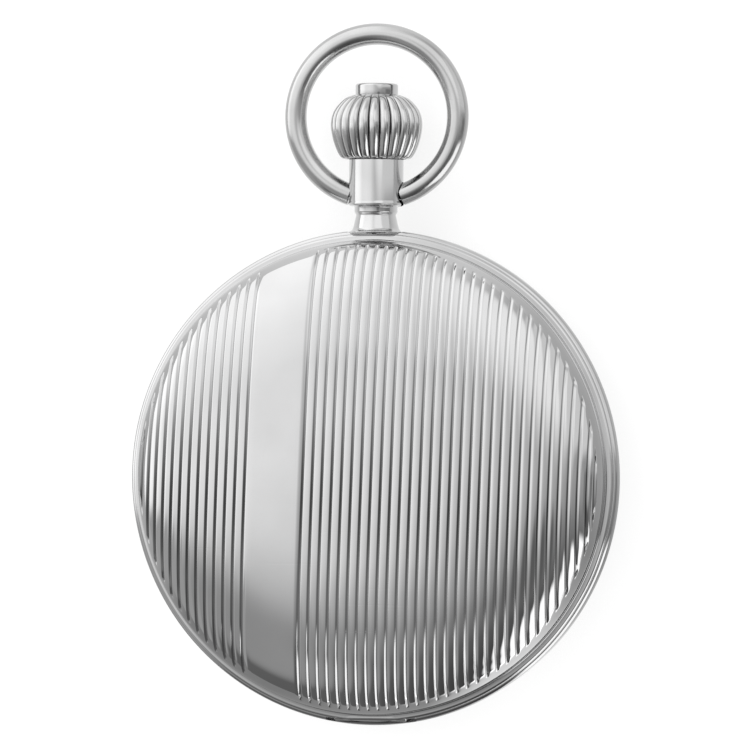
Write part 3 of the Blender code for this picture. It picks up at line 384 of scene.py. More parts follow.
def finish_mesh(name, mesh, look, sharp=38.0):
    """A piece from a mesh. Without a sharp angle its points aren't merged and its faces stay flat."""
    shape = bmesh.new()
    shape.from_mesh(mesh)
    if sharp:
        bmesh.ops.remove_doubles(shape, verts=shape.verts, dist=1e-7)
        bmesh.ops.dissolve_degenerate(shape, edges=shape.edges, dist=1e-8)
    bmesh.ops.recalc_face_normals(shape, faces=shape.faces)
    shape.to_mesh(mesh)
    shape.free()
    mesh.materials.clear()
    mesh.materials.append(LOOKS[look])
    if sharp:
        mesh.shade_smooth()
        mesh.set_sharp_from_angle(angle=radians(sharp))
    obj = in_scene(name, mesh)
    return obj


def from_data(name, verts, faces, look, sharp=38.0, painted_shade=None):
    """painted_shade gives each vertex its share of painted shade, for hollows that the light misses."""
    mesh = mesh_of(name, verts, faces)
    if painted_shade:
        mesh.attributes.new("painted_shade", "FLOAT", "POINT").data.foreach_set("value", painted_shade)
    return finish_mesh(name, mesh, look, sharp)


def prisms(outlines, low, high):
    """Vertices and faces of upright solids between two heights, one for each convex outline."""
    verts, faces = [], []
    for outline in outlines:
        base, count = len(verts), len(outline)
        verts += [(x, y, z) for z in (low, high) for x, y in outline]
        faces.append([base + i for i in range(count)][::-1])
        faces.append([base + count + i for i in range(count)])
        for i in range(count):
            j = (i + 1) % count
            faces.append([base + i, base + j, base + count + j, base + count + i])
    return verts, faces


def turned(name, profile, look, steps=96, at=CENTRE, along="Z", sharp=38.0, shape=None, shading=None):
    """A turned piece from (radius, height) points, closed at the axis or into a ring.

    shape(radius, angle) may change the radius, for flutes, and shading(radius, angle) gives the painted shade
    there.
    """
    verts, faces, painted_shade = [], [], []
    left, down, out = (*at, 0.0)[:3]
    count = len(profile)
    for s in range(steps):
        a = tau * s / steps
        for r, h in profile:
            if shading:
                painted_shade.append(shading(r, a))
            if shape:
                r = shape(r, a)
            x, y = r * cos(a), r * sin(a)
            p = {"Z": (x, y, h), "Y": (x, h, -y), "X": (h, x, y)}[along]
            verts.append((p[0] + left, p[1] + down, p[2] + out))
    ring = min(r for r, _ in profile) > 1e-6
    for s in range(steps):
        t = (s + 1) % steps
        for i in range(count if ring else count - 1):
            j = (i + 1) % count
            faces.append((s * count + i, t * count + i, t * count + j, s * count + j))
    return from_data(name, verts, faces, look, sharp, painted_shade)


def rod(name, radius, low, high, look="case", at=CENTRE, along="Z", steps=40, edge=0.0):
    home = {"Z": (*at, 0.0), "Y": (at[0], 0.0, at[1]), "X": (0.0, *at)}[along]
    side = [(radius, high), (radius, low)]
    if edge:
        side = [(radius - edge, high), (radius, high - edge), (radius, low + edge), (radius - edge, low)]
    return turned(name, [(0.0, high), *side, (0.0, low)], look, steps, home, along)


def block(name, low, high, look="case"):
    (a, b, c), (d, e, f) = low, high
    return from_data(name, *prisms([[(a, b), (d, b), (d, e), (a, e)]], c, f), look)


def level(obj):
    """Shades a plate's flat faces by their own direction, so that its softened edges don't streak them."""
    for polygon in obj.data.polygons:
        if abs(polygon.normal.z) > 0.999:
            polygon.use_smooth = False
    return obj


def sheet_piece(name, outlines, heights, look, at=CENTRE, turn=0.0, edge=0.03, bevel_steps=1):
    """A flat piece with holes and softened edges between two heights."""
    low, high = heights
    curve = bpy.data.curves.new(name, "CURVE")
    curve.dimensions = "2D"
    curve.fill_mode = "BOTH"
    curve.extrude = ((high - low) / 2 - edge) * MM
    curve.bevel_depth = edge * MM
    curve.bevel_resolution = bevel_steps
    curve.offset = -edge * MM
    for outline in outlines:
        spline = curve.splines.new("POLY")
        spline.points.add(len(outline) - 1)
        for point, (x, y) in zip(spline.points, outline):
            point.co = (x * MM, y * MM, 0.0, 1.0)
        spline.use_cyclic_u = True
    source = in_scene(name + "_outline", curve)
    mesh = applied(source)
    bpy.data.objects.remove(source)
    bpy.data.curves.remove(curve)
    place = Matrix.Translation((at[0] * MM, at[1] * MM, (low + high) / 2 * MM))
    mesh.transform(place @ Matrix.Rotation(radians(turn), 4, "Z"))
    return level(finish_mesh(name, mesh, look, 30.0))


def swept(name, path, radius, look, sides):
    """A round wire along points, with closed ends."""
    points = [Vector(p) for p in path]
    last = len(points) - 1
    verts, faces = [], []
    normal = (points[1] - points[0]).normalized().orthogonal().normalized()
    for i, p in enumerate(points):
        tangent = (points[min(i + 1, last)] - points[max(i - 1, 0)]).normalized()
        normal = (normal - tangent * normal.dot(tangent)).normalized()
        side = tangent.cross(normal)
        for k in range(sides):
            a = tau * k / sides
            verts.append(tuple(p + (normal * cos(a) + side * sin(a)) * radius))
    for i in range(last):
        for k in range(sides):
            m = (k + 1) % sides
            faces.append((i * sides + k, i * sides + m, (i + 1) * sides + m, (i + 1) * sides + k))
    faces.append(tuple(range(sides))[::-1])
    faces.append(tuple(last * sides + k for k in range(sides)))
    return from_data(name, verts, faces, look)


def cut(obj, *others):
    """Boolean with its result applied. The cutters are removed."""
    for other in others:
        modifier = obj.modifiers.new("cut", "BOOLEAN")
        modifier.operation = "DIFFERENCE"
        modifier.object = other
    mesh = applied(obj)
    obj.modifiers.clear()
    look = obj.data.materials[0]
    obj.data = mesh
    mesh.materials.clear()
    mesh.materials.append(look)
    mesh.shade_smooth()
    mesh.set_sharp_from_angle(angle=radians(32))
    for other in others:
        bpy.data.objects.remove(other)
    return obj


def gather(obj, *others):
    """Puts separate solids of one finish into one piece."""
    shape = bmesh.new()
    for part in (obj, *others):
        shape.from_mesh(part.data)
    shape.to_mesh(obj.data)
    shape.free()
    obj.data.set_sharp_from_angle(angle=radians(35))
    for part in others:
        bpy.data.objects.remove(part)
    return obj


def stands_for(obj, body, *nodes):
    if nodes:
        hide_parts(*nodes)
    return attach(obj, body)


def joined(name, pieces, body, *nodes):
    """Several solids as one piece with a name of its own."""
    made = gather(*pieces)
    made.name = name
    return stands_for(made, body, *nodes)


def satin_inside(obj):
    """Gives a lid's hollow side the softer polish that the outside doesn't have."""
    obj.data.materials.append(LOOKS["inside"])
    for face in obj.data.polygons:
        out = Vector((face.center.x, face.center.y, 3 * (face.center.z - MID_Z * MM)))
        if face.normal.dot(out) < 0:
            face.material_index = 1


# ---------------------------------------------------------------- lids
def wall_point(radius, rise, t):
    """Radius and height above the foot, on the rounded shoulder of a lid."""
    return radius * cos(t) ** (2 / SUPER_N), rise * sin(t) ** (2 / SUPER_N)


def lid_height(r, dome=LID_DOME):
    """Height of the lid's outer face above the foot of its wall."""
    share = min(1.0, r / WALL_R)
    return LID_SHOULDER * (1 - share**SUPER_N) ** (1 / SUPER_N) + dome * (1 - share**2)


def lid_normal(x, y):
    step = 0.01
    r = hypot(x, y)
    if r < 2 * step:
        return Vector((0, 0, 1))
    slope = (lid_height(min(r + step, WALL_R)) - lid_height(r - step)) / (2 * step)
    return Vector((-slope * x / r, -slope * y / r, 1)).normalized()


def groove_place(k):
    """Where groove k crosses the middle line: the spacing closes up a little towards the sides."""
    s = (GROOVE_START + GROOVE_PITCH * k) / ORNAMENT_R
    x = ORNAMENT_R * (s - 0.005 * s**3 - 0.021 * s**7)
    return max(-GROOVE_LAST, min(GROOVE_LAST, x))


def lid_columns():
    """(x, depth, shading) of each line of vertices across the ornament. The painted shade is None off the
    grooves.
    """
    columns = []
    for run in (LEFT_GROOVES, RIGHT_GROOVES):
        places = [groove_place(k) for k in run]
        for i, x in enumerate(places):
            half = min(GROOVE_HALF, (GROOVE_EDGE - abs(x)) * 0.7)
            columns += [(x + half * share, GROOVE_DEPTH * depth, shading) for share, depth, shading in GROOVE_SECTION]
            wide = places[i + 1] - x - 2 * GROOVE_HALF if i < len(places) - 1 else 0.0
            if wide > 0.2:
                columns += [(x + GROOVE_HALF + wide * share, drop, None) for share, drop in LAND_SECTION]
    left_edge, right_edge = min(columns)[0], max(columns)[0]
    low = groove_place(LEFT_GROOVES[-1]) + GROOVE_HALF
    high = groove_place(RIGHT_GROOVES[0]) - GROOVE_HALF
    columns += [(low + (high - low) * i / PLAIN_COLUMNS, 0.0, None) for i in range(1, PLAIN_COLUMNS)]
    for edge, side in ((left_edge, -1), (right_edge, 1)):
        a = acos(min(1.0, abs(edge) / ORNAMENT_R))
        count = max(2, round(a / radians(1.6)))
        columns += [(side * ORNAMENT_R * cos(a * i / count), 0.0, None) for i in range(count)]
    return sorted(columns, key=lambda column: column[0])


def lid_skirt():
    """(radius, z) of the rings round the ornament: shoulder, wall and the hollow inside."""
    foot = MID_Z + WALL_FOOT
    skirt = []
    start = asin((lid_height(ORNAMENT_R, 0.0) / LID_SHOULDER) ** (SUPER_N / 2))
    for i in range(1, 11):
        r, z = wall_point(WALL_R, LID_SHOULDER, start * (1 - i / 10) ** 1.3)
        skirt.append((r, foot + z + LID_DOME * (1 - (r / WALL_R) ** 2)))
    inner = WALL_R - SHELL
    skirt += [(WALL_R, MID_Z + 1.2), (inner, MID_Z + 1.2)]
    for i in range(1, 15):
        r, z = wall_point(inner, LID_SHOULDER - SHELL, pi / 2 * (i / 15) ** 0.8)
        skirt.append((r, foot + z + LID_DOME * (1 - (r / inner) ** 2)))
    return skirt


def lid_shell():
    """The lid with its engine-turned front, shoulder, wall and hollow inside, as one closed skin."""
    turn = Matrix.Rotation(radians(ORNAMENT_TURN), 3, "Z")
    verts, faces, grid, painted_shade = [], [], [], {}
    for x, depth, shading in lid_columns():
        half = sqrt(max(0.0, ORNAMENT_R**2 - x * x))
        if half < 1e-3:
            place = turn @ Vector((copysign(ORNAMENT_R, x), 0, 0))
            verts.append((place.x, place.y, MID_Z + WALL_FOOT + lid_height(ORNAMENT_R)))
            grid.append([len(verts) - 1] * (LID_ROWS + 1))
            continue
        line = []
        for row in range(LID_ROWS + 1):
            y = half * sin(pi * (row / LID_ROWS - 0.5))
            place = turn @ Vector((x, y, 0))
            here = Vector((place.x, place.y, MID_Z + WALL_FOOT + lid_height(hypot(x, y))))
            reach = half - abs(y)
            fade = min(1.0, reach / RUN_OUT)
            fade = fade * fade * (3 - 2 * fade)
            if shading is not None and half > 1.0:
                fade *= 1 + 0.2 * exp(-(((reach - DIMPLE) / DIMPLE_WIDE) ** 2))
            here -= lid_normal(place.x, place.y) * depth * fade
            verts.append(tuple(here))
            line.append(len(verts) - 1)
            # Painted shade in the grooves, darkest on their bottoms and left walls and in the rows round the
            # middle of the lid.
            if shading:
                painted_shade[line[-1]] = shading * min(1.0, fade) * (0.06 + 0.92 * exp(-(((y + 2.5) / 9.0) ** 2)))
        grid.append(line)
    for a, b in zip(grid, grid[1:]):
        for row in range(LID_ROWS):
            quad = [a[row], b[row], b[row + 1], a[row + 1]]
            quad = [v for i, v in enumerate(quad) if v != quad[i - 1]]
            if len(quad) > 2:
                faces.append(quad)
    previous = [line[0] for line in grid] + [line[-1] for line in grid[-2:0:-1]]
    angles = [atan2(verts[v][1], verts[v][0]) for v in previous]
    count = len(previous)
    for r, z in lid_skirt():
        ring = [len(verts) + i for i in range(count)]
        verts += [(r * cos(a), r * sin(a), z) for a in angles]
        for i in range(count):
            j = (i + 1) % count
            faces.append((previous[i], previous[j], ring[j], ring[i]))
        previous = ring
    faces += [(previous[i], previous[(i + 1) % count], len(verts)) for i in range(count)]
    verts.append((0.0, 0.0, MID_Z + WALL_FOOT + LID_SHOULDER - SHELL + LID_DOME))
    shaded = [painted_shade.get(i, 0.0) for i in range(len(verts))]
    lid = from_data("lid_engine_turned_shell", verts, faces, "chrome", 50.0, shaded)
    satin_inside(lid)
    stands_for(lid, "lid", "front_lid")


def hinge_relief(lift, extra=0.03, half=HINGE_HALF):
    return rod("relief", KNUCKLE_R + extra, -half, half, "case", (HINGE_Y, MID_Z + lift), "X", 48)


def hinge_corner(lift):
    """What a rim sheds outside its hinge line so that its edge can turn past the band."""
    side = copysign(1.0, lift)
    low, high = sorted((MID_Z + lift - side * 0.5, MID_Z + lift + side * 1.2))
    corner = block("corner", (-HINGE_REACH, HINGE_Y - 1.2, low), (HINGE_REACH, HINGE_Y, high))
    return cut(corner, hinge_relief(lift, 0.07, HINGE_REACH + 0.5))


def knuckle(name, low, high, lift):
    return rod(name, KNUCKLE_R, low, high, "case", (HINGE_Y, MID_Z + lift), "X", 32, 0.05)


def fit_hinge(rim, name, lift):
    """Clears the hinge's room from a rim and adds its knuckle, with the leaf that holds it."""
    cut(rim, hinge_relief(lift), hinge_corner(lift))
    low, high = sorted(MID_Z + copysign(z, lift) for z in (1.02, 1.34))
    leaf = block("leaf", (-KNUCKLE_HALF, HINGE_Y + 0.2, low), (KNUCKLE_HALF, HINGE_Y + 0.74, high))
    gather(rim, knuckle(name, -KNUCKLE_HALF, KNUCKLE_HALF, lift), leaf)


def lid_rim():
    """The rolled bead round the lid's foot, with the inner lip that the catch holds."""
    low = RIM_FOOT
    profile = [(22.55, 1.45), (22.98, 1.62), (23.04, 1.43), (23.42, 1.42), (23.6, 1.31), (23.64, 1.1)]
    profile += [(23.59, low + 0.01), (23.5, low), (22.28, low), (22.28, low + 0.2), (22.5, low + 0.2)]
    profile = rounded([(r, MID_Z + z) for r, z in profile], 0.05, 2)
    rim = turned("lid_rim_bead", profile, "case", 240)
    fit_hinge(rim, "lid_knuckle", HINGE_LIFT)
    stands_for(rim, "lid")


def cover_side(radius, rise, flat, steps):
    """The rear cover's shoulder, from its flat back to the foot of its wall."""
    start = asin((flat / rise) ** (SUPER_N / 2))
    points = [wall_point(radius, rise, start * (1 - i / steps)) for i in range(steps + 1)]
    return [(r, MID_Z - WALL_FOOT - z) for r, z in points]


def rear_cover():
    flat, sheet = MID_Z - WALL_FOOT, SHELL + 0.02
    outside = [(0.0, 0.0), (6.0, 0.0), *cover_side(WALL_R, BACK_SHOULDER, flat, 32)]
    inside = [(0.0, sheet), (6.0, sheet)]
    inside += cover_side(WALL_R - SHELL, BACK_SHOULDER - SHELL, flat - SHELL - 0.02, 24)
    low = RIM_FOOT
    rim = [(23.0, 1.43), (23.36, 1.42), (23.59, 1.3), (23.64, 1.1), (23.6, low + 0.01), (23.5, low), (22.5, low)]
    rim = rounded([(r, MID_Z - z) for r, z in rim], 0.05, 2, False)
    cover = turned("rear_cover_shell", outside + rim + inside[::-1], "case", 240)
    fit_hinge(cover, "cover_knuckle", -HINGE_LIFT)
    satin_inside(cover)
    stands_for(cover, "back", "rear_cover")


# ---------------------------------------------------------------- case
def case_band():
    flange = FLANGE_HALF
    side = [(22.2, 2.6), (22.2, flange), (23.7, flange), (23.93, flange - 0.16), (24.0, flange - 0.42)]
    inner = [(20.3, -2.6), (20.3, 1.83), (20.75, 1.83)]
    profile = [(20.75, 2.6), *side, *((r, -z) for r, z in side[::-1]), *inner]
    band = turned("case_centre_band", rounded([(r, MID_Z + z) for r, z in profile], 0.06, 2), "case", 240)
    cut(
        band,
        hinge_relief(HINGE_LIFT, 0.125, HINGE_REACH),
        hinge_relief(-HINGE_LIFT, 0.125, HINGE_REACH),
        rod("bore", 0.97, 19.0, 25.0, "case", (0, MID_Z), "Y"),
        block("seat", (-2.75, 23.68, MID_Z - 2), (2.75, 25.0, MID_Z + 2)),
        block("window", (-1.4, 19.0, MID_Z + 1.25), (1.1, 22.5, MID_Z + 2.0)),
    )
    extra = []
    for near, far in both_sides(KNUCKLE_HALF + 0.08, HINGE_HALF - 0.08):
        extra += [knuckle("band_knuckle", near, far, lift) for lift in (HINGE_LIFT, -HINGE_LIFT)]
        low = (near + 0.04, HINGE_Y + 0.12, MID_Z - HINGE_LIFT + 0.17)
        extra.append(block("web", low, (far - 0.04, HINGE_Y + 0.31, MID_Z + HINGE_LIFT - 0.17)))
    gather(band, *extra)
    stands_for(band, "case", "case_band")


def bezel(name, node, reach):
    lip, side = GLASS_R - 0.45, copysign(1, reach)
    reach = abs(reach)
    profile = [(GLASS_R + 0.06, reach), (GLASS_R + 0.95, reach), (21.9, reach - 1.5), (21.9, 2.66), (19.9, 2.66)]
    profile += [(lip, reach - 1.2), (lip, reach - 0.82), (GLASS_R + 0.06, reach - 0.82)]
    profile = rounded([(r, MID_Z + side * z) for r, z in profile], 0.14, 3)
    stands_for(turned(name, profile, "case", 192), "case", node)


def crystal(name, node, reach):
    """A glass with a slightly domed face."""
    side = copysign(1, reach)
    high, low = MID_Z + side * (abs(reach) - 0.06), MID_Z + side * (abs(reach) - 0.76)
    profile = [((GLASS_R - 0.2) * i / 12, high - side * 0.1 * (i / 12) ** 2) for i in range(13)]
    profile += [(GLASS_R, high - side * 0.16 - side * 0.05), (GLASS_R, low), (0.0, low)]
    stands_for(turned(name, profile, "glass", 144), "case", node)


def pendant():
    profile = [(0.0, 31.0), (2.42, 31.0), (2.5, 30.98), (2.65, 30.83), (2.65, 26.75), (2.7, 26.55)]
    profile += [(2.68, 26.42), (2.5, 26.3), (2.2, 26.28), (2.09, 26.2), (2.09, 25.72), (2.0, 25.58)]
    profile += [(1.93, 25.45), (1.96, 25.3), (2.04, 24.95), (2.14, 24.5), (2.26, 24.1), (2.42, 23.9)]
    profile += [(2.6, 23.8), (2.6, 23.72), (0.92, 23.72), (0.92, 20.5), (0.0, 20.5)]
    made = turned("pendant_sleeve", rounded(profile, 0.06, 2, False), "case", 96, (0, 0, MID_Z), "Y")
    cutters = [rod("well", 1.5, 28.3, 32.0, "case", (0, MID_Z), "Y")]
    cutters.append(rod("bore", 0.73, 19.0, 32.0, "case", (0, MID_Z), "Y"))
    bow_axis = (BOW_AXIS_Y, MID_Z)
    for scoop, hole in zip(both_sides(2.12, 3.2), both_sides(1.62, 2.4)):
        cutters.append(rod("scoop", BOW_WIRE_R + 0.14, *scoop, "case", bow_axis, "X", 48))
        cutters.append(rod("pivot_hole", 0.66, *hole, "case", bow_axis, "X", 32))
    stands_for(cut(made, *cutters), "case", "pendant")


FLUTES = 24


def flute(r, a):
    """Rounded ribs with a sharp valley between them, shallower towards the middle of the ends."""
    depth = 0.46 * max(0.0, min(1.0, (r - 2.25) / 1.4))
    return r - depth * (1 - abs(sin(a * FLUTES / 2)) ** 0.55)


# Painted shade in the flutes' valleys.
def flute_shade(r, a):
    return max(0.0, 1.0 - abs(sin(a * FLUTES / 2)) / 0.24) * 0.9 if r > 2.2 else 0.0


def crown():
    line = [(2.8, 31.12), (2.94, 30.92), (3.2, 30.88), (3.5, 31.08), (3.82, 31.6), (4.1, 32.3), (4.33, 33.15)]
    line += [(4.45, 34.1), (4.34, 35.05), (3.92, 35.9), (3.15, 36.7), (2.42, 37.04)]
    top = [(2.3, 37.08), (2.14, 37.0), (2.14, 36.0), (0.0, 36.0)]
    profile = [(0.0, 31.15), (1.62, 31.15), *smooth_line(line, 5), *top]
    at = (0, 0, MID_Z)
    body = turned("crown_fluted", profile, "satin", FLUTES * 16, at, "Y", 60.0, flute, flute_shade)
    cut(body, rod("bore", 1.62, 30.0, 35.2, "case", (0, MID_Z), "Y"))
    stands_for(body, "stem_and_crown", "crown")


def sleeve_spring():
    """The coil that brings the button back."""
    low, high, turns, points = 28.5, 30.95, 3.5, 84
    path = []
    for i in range(points + 1):
        x, z = polar(1.08, 360 * turns * i / points)
        path.append((x, low + (high - low) * i / points, MID_Z + z))
    spring = swept("sleeve_spring_coil", path, 0.14, "steel", 12)
    stands_for(spring, "case", "sleeve_spring")
    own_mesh(spring)


def button():
    profile = [(0.0, 38.2), (1.75, 38.2), (1.98, 38.14), (2.07, 38.0), (2.07, 36.9), (0.0, 36.9)]
    cap = turned("release_button_cap", rounded(profile, 0.05, 2, False), "case", 96, (0, 0, MID_Z), "Y")
    legs = [rod("leg", 0.28, 31.6, 36.9, "case", (x, MID_Z), "Y", 24) for x in (1.05, -1.05)]
    stands_for(gather(cap, *legs), "button", "release_button")


def bow():
    """The round wire, flattened where its ends meet the collar, and the pivots that it turns on."""
    start = lean_of((0.0, 0.0), (BOW_END_X + 0.3, BOW_AXIS_Y - BOW_Y))
    path = [(*polar(BOW_R, start + (180 - 2 * start) * i / 120, (0.0, BOW_Y)), MID_Z) for i in range(121)]
    ring = swept("bow_ring_wire", path, BOW_WIRE_R, "wire", 40)
    for v in ring.data.vertices:
        x, y = v.co.x / MM, v.co.y / MM
        if y < BOW_AXIS_Y + 1.6 and abs(x) < BOW_END_X + 1.2:
            share = max(0.0, min(1.0, (BOW_END_X + 1.0 - abs(x)) / 1.0))
            v.co.x = copysign(max(abs(x), BOW_END_X + 0.02 * share), x) * MM
    home = (BOW_AXIS_Y, MID_Z)
    stubs = [rod("stub", 0.6, *ends, "case", home, "X", 32, 0.06) for ends in both_sides(1.74, 2.9)]
    stands_for(gather(ring, *stubs), "bow_ring", "bow")


# ---------------------------------------------------------------- dial and hands
NUMERALS = ("I", "II", "III", "IIII", "V", "", "VII", "VIII", "IX", "X", "XI", "XII")
FIGURE_HIGH, FIGURE_FOOT = 2.7, 12.3


def glyph_bars(letter, x, high):
    """The thick and thin strokes of one Roman figure, and its width."""
    thick, thin = 0.34, 0.1
    if letter == "I":
        return [bar((x + 0.3, 0), (x + 0.3, high), thick)], 0.6
    if letter == "V":
        return [bar((x + 0.22, high), (x + 0.72, 0), thick), bar((x + 1.2, high), (x + 0.72, 0), thin)], 1.4
    return [bar((x + 0.25, high), (x + 1.15, 0), thick), bar((x + 1.15, high), (x + 0.25, 0), thin)], 1.4


def prism_group(name, outlines, low, high, look):
    """Thin raised shapes from convex outlines, as separate solids of one piece."""
    return finish_mesh(name, mesh_of(name, *prisms(outlines, low, high)), look, None)


def numerals():
    """The hours' outlines. The small seconds dial takes the place of the six."""
    outlines = []
    for hour, letters in enumerate(NUMERALS, 1):
        if not letters:
            continue
        strokes, x = [], 0.0
        for letter in letters:
            bars, wide = glyph_bars(letter, x, FIGURE_HIGH)
            strokes += bars
            x += wide
        strokes += [bar((-0.02, y), (x + 0.02, y), 0.09) for y in (0.0, FIGURE_HIGH)]
        lean = radians(-30 * hour)
        for outline in strokes:
            places = [(px - x / 2, FIGURE_FOOT + py) for px, py in outline]
            outlines.append([(u * cos(lean) - v * sin(lean), u * sin(lean) + v * cos(lean)) for u, v in places])
    return outlines


def tick(radius_low, radius_high, angle, wide, centre=CENTRE):
    return bar(polar(radius_low, angle, centre), polar(radius_high, angle, centre), wide)


def ring_print(name, radius, wide, low, high, steps=144, at=CENTRE):
    profile = [(radius, high), (radius + wide, high), (radius + wide, low), (radius, low)]
    return turned(name, profile, "print", steps, at)


def dial():
    face, sunk = DIAL_FACE, DIAL_FACE - 0.09
    steps = [(1.05, face), (1.05, 9.0), (19.5, 9.0), (19.5, face - 0.05), (19.42, face), (18.6, face)]
    plate = turned("dial_enamel_plate", rounded(steps, 0.03, 2), "enamel", 192)
    sink = rod("sink", 4.35, sunk, 9.6, "enamel", FOURTH, steps=96)
    cut(plate, sink, rod("hole", 0.34, 8.0, 9.6, "enamel", FOURTH, steps=32))
    stands_for(plate, "case", "dial")
    outlines = numerals()
    outlines += [tick(16.55, 17.3, i * 6, 0.07 if i % 5 else 0.2) for i in range(60)]
    outlines += [tick(17.55, 17.95, i * 30, 0.34) for i in range(12)]
    ends = (face - PRINT_ROOT, face + PRINT_HIGH)
    track = prism_group("dial_figures_and_minutes", outlines, *ends, "print")
    gather(track, ring_print("track_in", 16.5, 0.07, *ends), ring_print("track_out", 17.28, 0.07, *ends))
    stands_for(track, "case")
    low = [tick(3.1, 3.75, i * 6, 0.06 if i % 15 else 0.16, FOURTH) for i in range(0, 60, 5)]
    low += [tick(3.4, 3.75, i * 6, 0.05, FOURTH) for i in range(60) if i % 5]
    ends = (sunk - PRINT_ROOT, sunk + 0.02)
    small = prism_group("dial_seconds_track", low, *ends, "print")
    gather(small, ring_print("seconds_ring", 3.75, 0.07, *ends, 96, FOURTH))
    stands_for(small, "case")


def blade(length, wide, tail):
    """A leaf-shaped hand's outline along +Y."""
    right = [(0.26, 0.22), (0.34, 0.32), (0.72, 0.46), (0.86, 0.6), (0.62, 0.76), (0.24, 0.9), (0.05, 1.0)]
    right = [(wide * x, length * y) for x, y in right]
    side = smooth_line([(wide * 0.42, -tail), (wide * 0.3, 0.0), *right], 4)
    return side + [(-x, y) for x, y in side[::-1]]


def hand(name, node, body, length, wide, tail, heights, hub, bore, turn, at=CENTRE, edge=0.03):
    made = sheet_piece(name, [blade(length, wide, tail)], heights, "blued", at, turn, edge)
    low, high = heights
    profile = [(bore, high + 0.03), (hub - 0.12, high + 0.03), (hub, high - 0.05), (hub, low), (bore, low)]
    stands_for(gather(made, turned("hub", profile, "blued", 64, at)), body, node)


def hands():
    hand("hour_hand_leaf", "hour_hand", "hour_display", 10.0, 0.95, 0.0, (9.53, 9.68), 1.25, 0.88, 55)
    hand("minute_hand_leaf", "minute_hand", "minute_display", 15.2, 0.72, 0.0, (9.9, 10.05), 0.95, 0.55, -60)
    low = (9.39, 9.45)
    hand("seconds_hand_needle", "second_hand", "fourth", 3.6, 0.2, 1.2, low, 0.4, 0.16, 150, FOURTH, 0.012)
    profile = [(0.0, 10.15), (0.3, 10.14), (0.46, 10.08), (0.53, 9.98), (0.53, 9.7), (0.0, 9.7)]
    stands_for(turned("cannon_pinion_cap", profile, "steel", 40), "minute_display")


# ---------------------------------------------------------------- movement
BARREL_BRIDGE_FEET = (polar(16.4, 112), polar(16.3, 184))
TRAIN_BRIDGE_FEET = (polar(16.2, 282), polar(16.2, 342))
CLICK_PIVOT, CLICK_TIP = polar(8.6, 197, BARREL), polar(6.35, 190, BARREL)
# Shares of a tooth's angle from its middle: the ends of its foot, its side on the pitch circle, and its tip.
TOOTH_FOOT, TOOTH_SIDE, TOOTH_TIP = (0.42, 0.32), 0.2, 0.07
ESCAPE_TOOTH = ((1.95, 0), (1.95, 9), (2.1, 13), (2.44, 17.2), (2.5, 19), (2.3, 19.6))
STEEL_FACES = (6.3, 6.55)


def gear(teeth, module, turn=0.0, tip=0.8):
    pitch = teeth * module / 2
    high, low = pitch + tip * module, pitch - module
    wide, narrow = TOOTH_FOOT
    points = [(low, -wide), (low, -narrow), (pitch, -TOOTH_SIDE), (high, -TOOTH_TIP)]
    points += [(high, TOOTH_TIP), (pitch, TOOTH_SIDE), (low, narrow)]
    step = 360 / teeth
    return [polar(radius, turn + i * step + share * step) for i in range(teeth) for radius, share in points]


def mesh_turn(centre, other, teeth, phase=0.0):
    return lean_of(centre, other) + phase * 360 / teeth


def spokes(inner, outer, count, wide, points=14):
    made = []
    for i in range(count):
        start, end = 360 * i / count, 360 * (i + 1) / count
        far, near = degrees(wide / 2 / outer), degrees(wide / 2 / inner)
        window = arc(outer, start + far, end - far, points) + arc(inner, end - near, start + near, points // 2)
        made.append(rounded(window, 0.12, 3))
    return made


def jewel(at, face, rim):
    """A pressed jewel with its oil cup, just proud of a bridge's face on the back of the watch."""
    f = face - 0.02
    profile = [(0.0, f + 0.12), (0.07, f + 0.12), (0.3, f + 0.07), (rim * 0.72, f), (rim, f + 0.03)]
    return turned("jewel", [*profile, (rim, f + 0.35), (0.0, f + 0.35)], "ruby", 40, at)


def setting_ring(at, face, inner):
    f, outer = face - 0.035, inner + 0.2
    profile = [(inner, f + 0.08), (inner + 0.04, f), (outer - 0.05, f), (outer, f + 0.05)]
    return turned("chaton", [*profile, (outer, f + 0.3), (inner, f + 0.3)], "brass", 48, at)


def screw_head(at, face, radius, turn, thick=0.22):
    """A polished slotted head standing on a face, on the back of the watch."""
    top = face - thick
    profile = [(0.0, top), (radius - 0.1, top), (radius, top + 0.07), (radius, face + 0.05), (0.0, face + 0.05)]
    head = turned("screw", profile, "blued", 40, at)
    slot = bar(polar(-radius - 0.2, turn), polar(radius + 0.2, turn), 0.16)
    slot = [(at[0] + x, at[1] + y) for x, y in slot]
    return cut(head, from_data("slot", *prisms([slot], top - 0.1, top + 0.11), "blued"))


def staff(at, low, high, thick=0.22, shoulder=5.18):
    """A wheel's axle between its two pivots."""
    pivot = 0.12
    profile = [(0.0, high), (pivot, high), (pivot, 6.96), (thick, 6.92), (thick, shoulder)]
    return turned("staff", [*profile, (pivot, shoulder - 0.04), (pivot, low), (0.0, low)], "steel", 24, at)


def post(radius, low, at, edge=0.0, steps=48):
    return rod("post", radius, low, PILLAR_TOP, "striped", at, steps=steps, edge=edge)


def pivot_hole(at, points=24):
    return circle(0.17, points, at)


